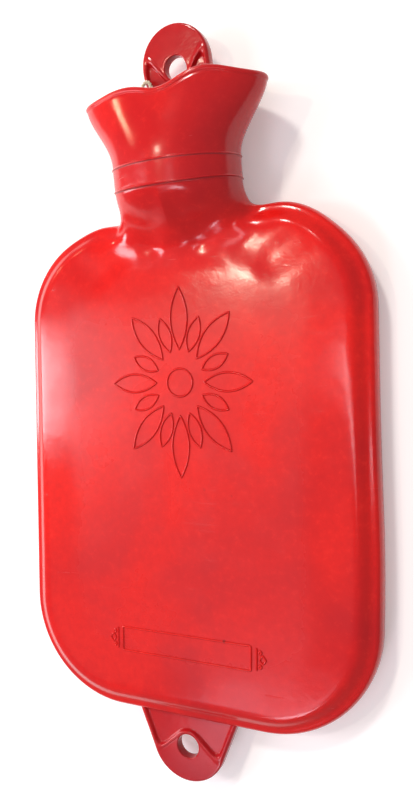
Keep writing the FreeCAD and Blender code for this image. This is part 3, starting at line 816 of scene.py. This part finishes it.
def wing():
    """The stopper's grip: rounded rectangles piled up the neck's axis, wide at the foot, drawn
    in over the crown, and pinched a little where finger and thumb take hold."""
    turn = circle(ROUND_COLUMNS)[None, :]
    t = np.linspace(0, 1, 40)[:, None]
    crown = np.sqrt(np.maximum(1 - np.maximum((t - 0.45) / 0.55, 0) ** 2.4, 0))
    base = np.sqrt(np.maximum(1 - np.maximum((0.14 - t) / 0.14, 0) ** 2, 0))
    s = GRIP_FOOT + (GRIP_TOP - GRIP_FOOT) * (1 - np.cos(math.pi * t)) / 2
    half_width = (GRIP_WIDTH / 2 - 1.6 * (1 - base)) * (0.62 + 0.38 * crown) * np.where(t < 1, 1, 0)
    half_depth = GRIP_THICKNESS / 2 * (0.72 + 0.28 * base) * np.clip(0.35 + 0.65 * crown, 0, 1)
    across = half_width * squared(np.cos(turn), GRIP_POWER)
    pinch = 1 - GRIP_PINCH * swell(np.abs(across), 7.5, 3.6) * swell(s, 46.5, 5)
    back = half_depth * pinch * squared(np.sin(turn), GRIP_POWER)
    close = np.where((t > 0) & (t < 1), 1, 0)
    return from_neck(across * close, back * close, s + 0 * across)


def screw_stopper():
    """The stopper: a screw that meshes with the ferrule's thread, a flange, a waist and the wing."""
    turn = circle(ROUND_COLUMNS)[None, :]
    s = np.linspace(SHANK_FOOT + 0.8, FLANGE_FOOT, 100)[:, None]
    ridge = np.maximum(ramp(s, SHANK_FOOT + 0.8, 2) * thread(s, turn), ramp(s, FERRULE_TOP, 0.8))
    shank = THREAD_ROOT + THREAD_DEPTH * ridge
    screw = from_neck(shank * np.cos(turn), shank * np.sin(turn), s)
    foot = turned(*profile((0.0, SHANK_FOOT), (6.0, SHANK_FOOT),
                           arc_profile(THREAD_ROOT - 0.8, SHANK_FOOT + 0.8, 0.8, -90, 0, 6)))
    head = turned(*profile(arc_profile(FLANGE_RADIUS - 0.5, FLANGE_FOOT + 0.5, 0.5, -90, 0, 5),
                           arc_profile(FLANGE_RADIUS - 0.9, FLANGE_TOP - 0.9, 0.9, 0, 90, 7),
                           (13.5, FLANGE_TOP), (12.9, FLANGE_TOP - 0.3), (9.0, FLANGE_TOP - 0.3),
                           arc_profile(WAIST_RADIUS + 1.0, FLANGE_TOP + 0.7, 1.0, 270, 180, 6),
                           (WAIST_RADIUS, GRIP_FOOT - 1.0), (WAIST_RADIUS - 0.6, GRIP_FOOT + 1.5),
                           (0.0, GRIP_FOOT + 1.5)))
    shaft = np.concatenate([foot, screw, head])
    handle = wing()
    faces = np.concatenate([grid_faces(len(shaft), ROUND_COLUMNS, True),
                            grid_faces(len(handle), ROUND_COLUMNS, True) + shaft[..., 0].size])
    return mesh_piece("screw_stopper", np.concatenate([shaft, handle]), faces, weld=True)


def washer():
    """The soft washer, a ring with rounded edges."""
    edge = 0.5
    points = turned(*profile(
        arc_profile(WASHER_RADIUS - edge, WASHER_FOOT + edge, edge, -90, 0),
        arc_profile(WASHER_RADIUS - edge, WASHER_TOP - edge, edge, 0, 90),
        arc_profile(WASHER_BORE + edge, WASHER_TOP - edge, edge, 90, 180),
        arc_profile(WASHER_BORE + edge, WASHER_FOOT + edge, edge, 180, 270)))
    faces = grid_faces(len(points), ROUND_COLUMNS, True, True)
    return mesh_piece("soft_washer", points, faces, weld=True)


# The cotton string: its route is the part's own, in the neck's frame
CORD_ROUTE = [(-8.4, 4.0, 36.2), (-13.6, 6.6, 36.6), (-17.8, 9.4, 40.0), (-20.4, 12.0, 46.4),
              (-21.6, 13.8, 54.2), (-22.2, 15.0, 62.2), (-22.0, 15.8, 68.6), (-20.4, 16.1, 72.6),
              (-17.6, 16.1, 73.6), (-15.6, 15.9, 70.4), (-14.7, 15.4, 64.2), (-14.6, 14.5, 56.2),
              (-14.4, 13.4, 48.4), (-13.6, 12.2, 42.0), (-11.2, 9.8, 37.4), (-7.4, 6.0, 36.2)]
STRANDS = 3
STRAND_RADIUS = 0.52
STRAND_OFFSET = 0.5
LAY_LENGTH = 4.6
KNOT_HEIGHT = 36.2
KNOT_RING = 6.8
KNOT_SIZE = 0.44


def cord_line():
    """The string's centre line: points in metres that Blender gives for a smooth spline."""
    curve = bpy.data.curves.new("cord_line", "CURVE")
    curve.dimensions = "3D"
    curve.resolution_u = 24
    route = np.array(CORD_ROUTE)
    places = from_neck(route[:, 0], route[:, 1], route[:, 2]) * MM
    spline = curve.splines.new("NURBS")
    spline.points.add(len(places) - 1)
    for point, place in zip(spline.points, places):
        point.co = (*place, 1)
    spline.order_u = 3
    spline.use_endpoint_u = True
    holder = bpy.data.objects.new("cord_line", curve)
    mesh = bpy.data.meshes.new_from_object(holder)
    points = np.empty(len(mesh.vertices) * 3)
    mesh.vertices.foreach_get("co", points)
    bpy.data.objects.remove(holder)
    bpy.data.meshes.remove(mesh)
    return points.reshape(-1, 3), places[0]


def evenly(points, step):
    """Points along a line, a step apart, by straight interpolation over its length."""
    run = np.concatenate([[0], np.cumsum(np.linalg.norm(np.diff(points, axis=0), axis=1))])
    along = np.linspace(0, run[-1], max(8, int(run[-1] / step)))
    return np.stack([np.interp(along, run, points[:, axis]) for axis in range(3)], axis=-1), along


def headings(points, closed):
    """The direction of a line at each of its points, from the neighbours on both sides."""
    ahead = np.gradient(points, axis=0)
    if closed:
        ahead = np.roll(points, -1, axis=0) - np.roll(points, 1, axis=0)
    return ahead / np.linalg.norm(ahead, axis=1, keepdims=True)


def twisted(points, along, aside, closed=False):
    """Strands laid round a line: each strand's centre circles it once for each lay length, and
    each strand is a small tube with sides that bulge between its neighbours."""
    ahead = headings(points, closed)
    first = np.cross(ahead, aside)
    first = first / np.linalg.norm(first, axis=1, keepdims=True)
    second = np.cross(ahead, first)
    grids = []
    around = circle(10)[None, :, None]
    taper = np.ones(len(points))
    if not closed:
        taper = ease(np.minimum(np.arange(len(points)), np.arange(len(points))[::-1]) / 3 + 0.25)
    for strand in range(STRANDS):
        phase = 2 * math.pi * (along / (LAY_LENGTH * MM) + strand / STRANDS)
        out = first * np.cos(phase)[:, None] + second * np.sin(phase)[:, None]
        side = np.cross(ahead, out)
        centre = points + out * STRAND_OFFSET * MM
        ring = out[:, None, :] * np.cos(around) + side[:, None, :] * np.sin(around)
        grids.append(centre[:, None, :] + ring * (STRAND_RADIUS * MM * taper)[:, None, None])
    return grids


def strand_piece(name, grids, closed=False):
    """A piece from its strands' grids, with a cap on each open end."""
    points, faces, first = [], [], 0
    for grid in grids:
        rows, columns = grid.shape[:2]
        if not closed:
            start, end = grid[:1].mean(axis=1, keepdims=True), grid[-1:].mean(axis=1, keepdims=True)
            caps = [np.repeat(end_point, columns, axis=1) for end_point in (start, end)]
            grid = np.concatenate([caps[0], grid, caps[1]])
            rows += 2
        faces.append(grid_faces(rows, columns, around=True, over=closed) + first)
        points.append(grid.reshape(-1, 3) / MM)
        first += rows * columns
    return mesh_piece(name, np.concatenate(points), np.concatenate(faces), weld=True)


def string_pieces():
    """The string's two legs and bight as strands laid round its line, and its eye round the
    stopper's waist with a small trefoil knot, which sines of one, two and three turns give."""
    line, exit_place = cord_line()
    aside = from_neck(0.0, 1.0, 0.0) - from_neck(0.0, 0.0, 0.0)
    points, along = evenly(line, 0.35 * MM)
    string = strand_piece("twisted_string", twisted(points, along, aside))
    turn = circle(130)
    eye = from_neck(KNOT_RING * np.cos(turn), KNOT_RING * np.sin(turn),
                    KNOT_HEIGHT + 0.25 * np.sin(2 * turn)) * MM
    lays = round(2 * math.pi * KNOT_RING / LAY_LENGTH)
    upright = from_neck(0.0, 0.0, 1.0) - from_neck(0.0, 0.0, 0.0)
    grids = twisted(eye, turn / (2 * math.pi) * lays * LAY_LENGTH * MM, upright, closed=True)
    middle = np.array([-6.6, 4.2])
    t = circle(90)
    lump_x = middle[0] + KNOT_SIZE * (np.sin(t) + 2 * np.sin(2 * t))
    lump_back = middle[1] + KNOT_SIZE * (np.cos(t) - 2 * np.cos(2 * t))
    lump = from_neck(lump_x, lump_back, KNOT_HEIGHT - 0.75 * np.sin(3 * t)) * MM
    grids += twisted(lump, t / (2 * math.pi) * 3 * LAY_LENGTH * MM, upright, closed=True)
    knot = strand_piece("string_knot", grids, closed=True)
    return string, knot, points, exit_place


# Raised relief on the front panel
RELIEF_RISE = 0.9
RELIEF_SKIRT = 1.6
MEDALLION_WIDTH = 82.0
MEDALLION_LENGTH = 102.0
MEDALLION_CENTRE = 180.0
PETAL_PAIRS = 8
PETAL_WIDTH = 11.0
PETAL_FOOT_SHARE = 0.32
SHORT_PETAL_SHARE = 0.74
HUB_RADIUS = 8.0
LINE_INSET = 0.65
PLATE_WIDTH = 76.0
PLATE_HEIGHT = 14.0
PLATE_CENTRE = 40.2


def ribbon(path, closed=True):
    """A soft raised line on the panel: a cosine hump carried along a path of the plan."""
    ahead = headings(path, closed)
    across = np.stack([ahead[:, 1], -ahead[:, 0]], axis=-1)
    share = np.linspace(-1, 1, 9)
    plan = path[:, None, :] + across[:, None, :] * (share * RELIEF_SKIRT / 2)[None, :, None]
    x, h = plan[..., 0], plan[..., 1]
    rise = RELIEF_RISE * np.cos(share * math.pi / 2) ** 2 - 0.12
    z = front_height(x, h) + rise[None, :]
    return np.stack([x, h + bag_foot, z], axis=-1)


def petal_path(turn, length_share):
    """A pointed oval from near the hub outwards: two shallow curves that meet at both ends."""
    aim = np.array([MEDALLION_WIDTH / 2 * math.cos(turn), MEDALLION_LENGTH / 2 * math.sin(turn)])
    start, end = aim * (PETAL_FOOT_SHARE + 0.02), aim * (length_share - 0.02)
    across = np.array([aim[1], -aim[0]]) / np.hypot(*aim)
    width = PETAL_WIDTH * length_share / 2 - LINE_INSET
    t = np.linspace(0, 2, 80, endpoint=False)
    along = np.where(t < 1, t, 2 - t)
    bow = np.where(t < 1, 1, -1) * 4 * along * (1 - along) * width
    return start + (end - start) * along[:, None] + across * bow[:, None]


def ring_path(centre, radius):
    """A circle of the plan."""
    turn = circle(60)
    return np.stack([centre[0] + radius * np.cos(turn), centre[1] + radius * np.sin(turn)], axis=-1)


def lozenge_path(centre, half_width, half_height):
    """A small lozenge with eased corners, for the plate's ends."""
    turn = circle(24)
    x = half_width * squared(np.cos(turn), 1.6)
    h = half_height * squared(np.sin(turn), 1.6)
    return np.stack([centre[0] + x, centre[1] + h], axis=-1)


def box_path(width, height, radius=0.8):
    """A rectangle with slightly rounded corners, its long sides cut into short steps."""
    spots = []
    half = (width / 2 - radius, height / 2 - radius)
    for index, (side_x, side_h) in enumerate(((1, -1), (1, 1), (-1, 1), (-1, -1))):
        turn = np.linspace(-math.pi / 2, 0, 5) + index * math.pi / 2
        arc = np.stack([side_x * half[0] + radius * np.cos(turn),
                        side_h * half[1] + radius * np.sin(turn)], axis=-1)
        after = (((1, 1), (-1, 1), (-1, -1), (1, -1))[index])
        goal = np.array([after[0] * half[0], after[1] * half[1]])
        leave = arc[-1]
        aim = goal + np.array([math.cos(turn[-1]), math.sin(turn[-1])]) * radius
        count = max(4, int(np.hypot(*(aim - leave)) / 1.2))
        run = leave + (aim - leave) * np.linspace(0, 1, count, endpoint=False)[1:, None]
        spots += [arc, run]
    return np.concatenate(spots)


def relief():
    """Every raised line of the front panel: the rosette, the bare plate and its end ornaments."""
    middle = np.array([0, MEDALLION_CENTRE])
    loops = [ring_path(middle, HUB_RADIUS - LINE_INSET)]
    for index in range(PETAL_PAIRS):
        turn = 2 * math.pi * index / PETAL_PAIRS
        loops.append(middle + petal_path(turn, 1))
        loops.append(middle + petal_path(turn + math.pi / PETAL_PAIRS, SHORT_PETAL_SHARE))
    plate = np.array([0, PLATE_CENTRE])
    loops.append(plate + box_path(PLATE_WIDTH - 2 * LINE_INSET, PLATE_HEIGHT - 2 * LINE_INSET))
    bars = []
    for side in (-1, 1):
        end = plate + np.array([side * (PLATE_WIDTH / 2 + 2.4), 0])
        bars.append(end + np.stack([np.zeros(12), np.linspace(-5.6, 5.6, 12)], axis=-1))
        loops.append(lozenge_path(end + np.array([side * 3.2, 0]), 1.6, 2.0))
        for rise in (-3.6, 3.6):
            loops.append(lozenge_path(end + np.array([side * 1.9, rise]), 0.7, 0.9))
    points, faces, first = [], [], 0
    for path, closed in [(loop, True) for loop in loops] + [(bar, False) for bar in bars]:
        grid = ribbon(path, closed)
        faces.append(grid_faces(grid.shape[0], grid.shape[1], over=closed) + first)
        points.append(grid.reshape(-1, 3))
        first += len(points[-1])
    points = swayed(np.concatenate(points))
    # Painted shade along both edges of each raised line, darkest at its foot
    crease_shade = np.tile([0.6, 0.45, 0.2, 0, 0, 0, 0.2, 0.45, 0.6], len(points) // 9)
    marks = {"worn": np.ones(len(points)), "crease": crease_shade}
    return mesh_piece("panel_relief", points, np.concatenate(faces), marks=marks)


# The stage: camera, lights and floor. Each light has a name, a place, the point that it faces,
# a size, a power and a colour.
LIGHTS = (
    ("window_left", (-1.0, 0.02, 0.60), (0, 0, 0), (0.22, 0.9), 8.2, (1.0, 0.88, 0.94)),
    ("window_right", (0.16, -0.05, 1.15), (0, 0, 0), (0.035, 0.8), 1.4, (1.0, 0.90, 0.95)),
    ("window_foot", (-0.14, -0.90, 0.80), (0, 0, 0), (0.24, 0.2), 1.5, (0.98, 0.86, 1.0)),
    ("window_low", (-0.28, -0.72, 1.0), (0, 0, 0), (0.4, 0.22), 0.9, (1.0, 0.72, 0.86)),
    ("ceiling", (-0.42, -0.10, 1.0), (0, 0, 0), (0.9, 0.9), 0.8, (1.0, 0.85, 0.80)),
    ("key", (-0.20, 0.85, 1.0), (0, 0, 0), (0.16, 0.16), 6.2, (1.0, 0.94, 0.86)),
    ("lamp", (-0.38, 0.27, 1.04), (0, 0.1, 0), (0.022, 0.03), 1.2, (1.0, 0.88, 0.68)),
    ("far_lamp", (-0.86, 0.48, 0.60), (0, 0.1, 0), (0.025, 0.04), 0.5, (1.0, 0.82, 0.50)))
SKY = 0.34
FLOOR_WHITE = 0.92
FLOOR_GLOW = 0.22
FLOOR_HALF = 900.0
FLOOR_HEIGHT = -0.3
CAMERA_PLACE = (0.167804, 0.011469, 0.346200)
CAMERA_YAW = 0.438
CAMERA_PITCH = -0.020
CAMERA_ROLL = -0.016
CAMERA_LENS = 31.376


def camera():
    """The photograph's viewpoint: turned about the bottle's length, then pitched and rolled."""
    right = Vector((math.cos(CAMERA_YAW), 0, -math.sin(CAMERA_YAW)))
    ahead = Vector((-math.sin(CAMERA_YAW), 0, -math.cos(CAMERA_YAW)))
    up = Vector((0, 1, 0))
    ahead, up = (ahead * math.cos(CAMERA_PITCH) + up * math.sin(CAMERA_PITCH),
                 up * math.cos(CAMERA_PITCH) - ahead * math.sin(CAMERA_PITCH))
    right, up = (right * math.cos(CAMERA_ROLL) + up * math.sin(CAMERA_ROLL),
                 up * math.cos(CAMERA_ROLL) - right * math.sin(CAMERA_ROLL))
    data = bpy.data.cameras.new("camera")
    data.lens = CAMERA_LENS
    data.sensor_width = 36.0
    data.clip_start = 0.01
    item = bpy.data.objects.new("camera", data)
    turn = Matrix((right, up, -ahead)).transposed().to_4x4()
    item.matrix_world = Matrix.Translation(CAMERA_PLACE) @ turn
    bpy.context.scene.collection.objects.link(item)
    bpy.context.scene.camera = item


def area_light(name, place, aim, size, power, colour):
    """A rectangular soft light that faces a point."""
    data = bpy.data.lights.new(name, "AREA")
    data.shape = "RECTANGLE"
    data.size, data.size_y = size
    data.energy = power
    data.color = colour
    item = bpy.data.objects.new(name, data)
    item.location = place
    item.rotation_euler = (Vector(aim) - Vector(place)).to_track_quat("-Z", "Y").to_euler()
    bpy.context.scene.collection.objects.link(item)


def lighting():
    """Plain soft room light: windows on the left, on the right and at the foot, a wide ceiling, a
    key above the neck, two small lamps, and an even sky."""
    for light in LIGHTS:
        area_light(*light)
    world = bpy.data.worlds.new("sky")
    bpy.context.scene.world = world
    world.use_nodes = True
    sky = world.node_tree.nodes["Background"]
    sky.inputs["Color"].default_value = (1, 1, 1, 1)
    sky.inputs["Strength"].default_value = SKY


# Materials. Patterns read object coordinates, in metres.
def new_material(name, colour, roughness):
    """A material with its shader's own plain values, and the parts that the patterns need."""
    material = bpy.data.materials.new(name)
    material.use_nodes = True
    tree = material.node_tree
    shader = tree.nodes["Principled BSDF"]
    shader.inputs["Base Color"].default_value = (*colour, 1)
    shader.inputs["Roughness"].default_value = roughness
    return material, tree, shader


def feed(tree, socket, value):
    """Give a socket a plain value, or a link from another socket."""
    if isinstance(value, bpy.types.NodeSocket):
        tree.links.new(value, socket)
    else:
        socket.default_value = value


def add_node(tree, kind, inputs=(), **settings):
    """A node with its settings, and its inputs as values or as links from other sockets."""
    item = tree.nodes.new(kind)
    for key, value in settings.items():
        setattr(item, key, value)
    for key, value in dict(inputs).items():
        feed(tree, item.inputs[key], value)
    return item


def object_place(tree):
    """Object coordinates, in metres."""
    return add_node(tree, "ShaderNodeTexCoord").outputs["Object"]


def mark(tree, name):
    """A value that the mesh carries at each of its points."""
    return add_node(tree, "ShaderNodeAttribute", attribute_name=name).outputs["Fac"]


def noise(tree, place, scale, detail=2.0, roughness=0.5, distortion=0.0):
    """A noise pattern's value, about 0.5 in the middle."""
    inputs = {"Vector": place, "Scale": scale, "Detail": detail, "Roughness": roughness,
              "Distortion": distortion}
    return add_node(tree, "ShaderNodeTexNoise", inputs).outputs["Fac"]


def spread(tree, value, low, high, to_low=0.0, to_high=1.0):
    """A value's range from low to high, clamped and mapped to another range."""
    inputs = {"Value": value, "From Min": low, "From Max": high, "To Min": to_low, "To Max": to_high}
    return add_node(tree, "ShaderNodeMapRange", inputs).outputs["Result"]


def stretched(tree, place, turn, scale):
    """Coordinates turned and scaled by axis, for patterns drawn out into lines."""
    inputs = {"Vector": place, "Rotation": turn, "Scale": scale}
    return add_node(tree, "ShaderNodeMapping", inputs).outputs["Vector"]


def blend_colours(tree, share, first, second):
    """The first colour where the share is 0, the second where it is 1."""
    item = add_node(tree, "ShaderNodeMix", data_type="RGBA")
    for index, value in zip((0, 6, 7), (share, first, second)):
        feed(tree, item.inputs[index], (*value, 1) if isinstance(value, tuple) else value)
    return item.outputs[2]


def arithmetic(tree, operation, first, second):
    """A sum, a product or a maximum of two values."""
    item = add_node(tree, "ShaderNodeMath", operation=operation)
    feed(tree, item.inputs[0], first)
    feed(tree, item.inputs[1], second)
    return item.outputs[0]


def product(tree, first, second):
    """Two values multiplied."""
    return arithmetic(tree, "MULTIPLY", first, second)


def total(tree, first, *others):
    """Values added up."""
    for other in others:
        first = arithmetic(tree, "ADD", first, other)
    return first


def bump(tree, shader, height, strength, distance):
    """Fine relief from a pattern, on the shader's normal."""
    inputs = {"Height": height, "Strength": strength, "Distance": distance}
    feed(tree, shader.inputs["Normal"], add_node(tree, "ShaderNodeBump", inputs).outputs["Normal"])


def red_rubber():
    """Glossy moulded rubber, old and handled: soft patches of deeper and paler red, a fine mottle,
    painted shade with a little grime in the creases, painted shade on the neck's right side, a
    deeper red towards the bag's foot and on the tabs, dull scuffs and hair scratches, and a faint
    orange peel."""
    material, tree, shader = new_material("red_rubber", (0.70, 0.012, 0.010), 0.24)
    place = object_place(tree)
    patches = noise(tree, place, 13.0, 3.0, 0.55, 0.6)
    mottle = noise(tree, place, 240.0, 5.0, 0.7)
    crease_shade = mark(tree, "crease")
    cells = add_node(tree, "ShaderNodeTexVoronoi", {"Vector": place, "Scale": 62.0})
    speck = product(tree, spread(tree, cells.outputs["Distance"], 0.07, 0.045),
                    spread(tree, noise(tree, place, 31.0), 0.60, 0.64))
    # Painted shade, with a little grime, in the creases, under the rings and along the relief's edges
    crease_shade_and_grime = product(tree, crease_shade, spread(tree, mottle, 0.25, 0.7, 0.5, 0.95))
    # Painted shade on the neck's and mouth's right side; elsewhere a deeper, purplish red towards the
    # bag's foot and all over the tabs
    painted_shade_and_deeper_red = product(tree, mark(tree, "painted_shade_and_deeper_red"), spread(tree, patches, 0.3, 0.7, 0.55, 0.95))
    colour = (0.76, 0.010, 0.007)
    # The dark red stands for the painted crease shade; the purplish dark red stands for the painted
    # shade on the neck's right and the deeper red of the bag's foot and the tabs
    for share, other in ((spread(tree, patches, 0.38, 0.66), (0.56, 0.006, 0.008)),
                         (spread(tree, mottle, 0.45, 0.75, 0.0, 0.35), (0.48, 0.005, 0.006)),
                         (spread(tree, mottle, 0.44, 0.30, 0.0, 0.30), (0.86, 0.030, 0.020)),
                         (product(tree, speck, 0.7), (0.10, 0.006, 0.008)),
                         (crease_shade_and_grime, (0.17, 0.006, 0.008)), (painted_shade_and_deeper_red, (0.33, 0.010, 0.018))):
        colour = blend_colours(tree, share, colour, other)
    feed(tree, shader.inputs["Base Color"], colour)
    lines = noise(tree, stretched(tree, place, (0, 0, 0.5), (22.0, 560.0, 22.0)), 1.0, 2.0, 0.6, 0.4)
    scuffs = spread(tree, noise(tree, place, 48.0, 4.0, 0.65), 0.48, 0.68)
    scratches = product(tree, spread(tree, lines, 0.66, 0.70), scuffs)
    wear = product(tree, mark(tree, "worn"), spread(tree, patches, 0.3, 0.7, 0.12, 0.20))
    rough = total(tree, spread(tree, patches, 0.3, 0.7, 0.12, 0.16), wear,
                  spread(tree, scuffs, 0.0, 1.0, 0.0, 0.06), product(tree, scratches, 0.15),
                  product(tree, crease_shade, 0.25))
    feed(tree, shader.inputs["Roughness"], rough)
    peel = total(tree, noise(tree, place, 150.0, 3.0, 0.5),
                 product(tree, noise(tree, place, 900.0, 2.0, 0.6), 0.35),
                 product(tree, scratches, -0.5))
    bump(tree, shader, peel, 0.22, 0.0003)
    shader.inputs["Specular IOR Level"].default_value = 0.42
    return material


def brass():
    """Turned brass, gone dull: brown tarnish in patches and fine rings left by the tool."""
    material, tree, shader = new_material("brass", (0.72, 0.53, 0.27), 0.35)
    place = object_place(tree)
    patches = noise(tree, place, 160.0, 4.0, 0.6)
    colour = blend_colours(tree, spread(tree, patches, 0.42, 0.66),
                           (0.74, 0.55, 0.28), (0.36, 0.22, 0.10))
    feed(tree, shader.inputs["Base Color"], colour)
    feed(tree, shader.inputs["Roughness"], spread(tree, patches, 0.3, 0.7, 0.26, 0.55))
    marks = stretched(tree, place, (-NECK_LEAN, 0, 0), (300.0, 7000.0, 300.0))
    bump(tree, shader, noise(tree, marks, 1.0, 1.0), 0.15, 0.0001)
    shader.inputs["Metallic"].default_value = 1.0
    return material


def hard_rubber():
    """Black vulcanised rubber: a satin that has gone a little brown and dusty, with fine pits."""
    material, tree, shader = new_material("hard_rubber", (0.022, 0.019, 0.017), 0.34)
    place = object_place(tree)
    patches = noise(tree, place, 90.0, 4.0, 0.6)
    colour = blend_colours(tree, spread(tree, patches, 0.42, 0.7),
                           (0.018, 0.016, 0.015), (0.060, 0.042, 0.030))
    feed(tree, shader.inputs["Base Color"], colour)
    feed(tree, shader.inputs["Roughness"], spread(tree, patches, 0.3, 0.7, 0.28, 0.46))
    bump(tree, shader, noise(tree, place, 1500.0, 3.0, 0.6), 0.2, 0.0001)
    return material


def washer_rubber():
    """Soft dark red rubber, matt, pressed smooth and chalky in places."""
    material, tree, shader = new_material("washer_rubber", (0.16, 0.045, 0.035), 0.6)
    place = object_place(tree)
    patches = noise(tree, place, 220.0, 4.0, 0.65)
    colour = blend_colours(tree, spread(tree, patches, 0.4, 0.7), (0.17, 0.04, 0.03), (0.26, 0.12, 0.10))
    feed(tree, shader.inputs["Base Color"], colour)
    feed(tree, shader.inputs["Roughness"], spread(tree, patches, 0.3, 0.7, 0.5, 0.75))
    bump(tree, shader, noise(tree, place, 1800.0, 2.0), 0.25, 0.0001)
    return material


def cotton():
    """Cream cotton string: fibres that run along the strands, a soft sheen, and a little soil."""
    material, tree, shader = new_material("cotton", (0.78, 0.7, 0.52), 0.9)
    place = object_place(tree)
    soil = noise(tree, place, 120.0, 3.0, 0.6)
    fibres = noise(tree, place, 5200.0, 3.0, 0.7)
    colour = blend_colours(tree, spread(tree, soil, 0.4, 0.7), (0.80, 0.73, 0.56), (0.62, 0.50, 0.34))
    colour = blend_colours(tree, spread(tree, fibres, 0.45, 0.7, 0.0, 0.5), colour, (0.45, 0.36, 0.24))
    feed(tree, shader.inputs["Base Color"], colour)
    bump(tree, shader, fibres, 0.5, 0.0002)
    shader.inputs["Sheen Weight"].default_value = 0.25
    return material


def floor():
    """The white ground that the bottle lies on: it keeps the bottle's shadow, and glows a
    little for what looks at it or mirrors it, so that it shows white."""
    corners = np.array([(-1, -1, 0), (1, -1, 0), (1, 1, 0), (-1, 1, 0)]) * FLOOR_HALF
    piece = mesh_piece("floor", corners + (0, 0, FLOOR_HEIGHT), np.array([[0, 1, 2, 3]]))
    material, tree, shader = new_material("floor_white", (FLOOR_WHITE,) * 3, 0.95)
    path = add_node(tree, "ShaderNodeLightPath")
    seen = arithmetic(tree, "MAXIMUM", path.outputs["Is Camera Ray"], path.outputs["Is Glossy Ray"])
    seen = arithmetic(tree, "MAXIMUM", seen, path.outputs["Is Transmission Ray"])
    shader.inputs["Emission Color"].default_value = (1, 1, 1, 1)
    feed(tree, shader.inputs["Emission Strength"], product(tree, seen, FLOOR_GLOW))
    shader.inputs["Specular IOR Level"].default_value = 0.0
    piece.data.materials.append(material)


red = red_rubber()
cream = cotton()
for piece in (bottle_skin(), tab_piece("upper_hanging_tab", top_tab()),
              tab_piece("lower_hanging_tab", bottom_tab()), relief()):
    piece.data.materials.append(red)
    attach(piece, "bottle")
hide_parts(*WALLS)
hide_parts("upper_tab")
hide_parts("lower_tab")
ferrule = brass_ferrule()
ferrule.data.materials.append(brass())
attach(ferrule, "bottle")
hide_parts("neck_ferrule")
stopper = screw_stopper()
stopper.data.materials.append(hard_rubber())
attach(stopper, "stopper")
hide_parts("stopper")
ring = washer()
ring.data.materials.append(washer_rubber())
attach(ring, "washer_and_cord")
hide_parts("stopper_washer")
string, knot, line, start = string_pieces()
for piece, node in ((string, "pull_cord"), (knot, "cord_knot")):
    piece.data.materials.append(cream)
    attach(piece, "washer_and_cord")
    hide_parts(node)
camera()
lighting()
floor()
bpy.context.scene.view_settings.view_transform = "Standard"
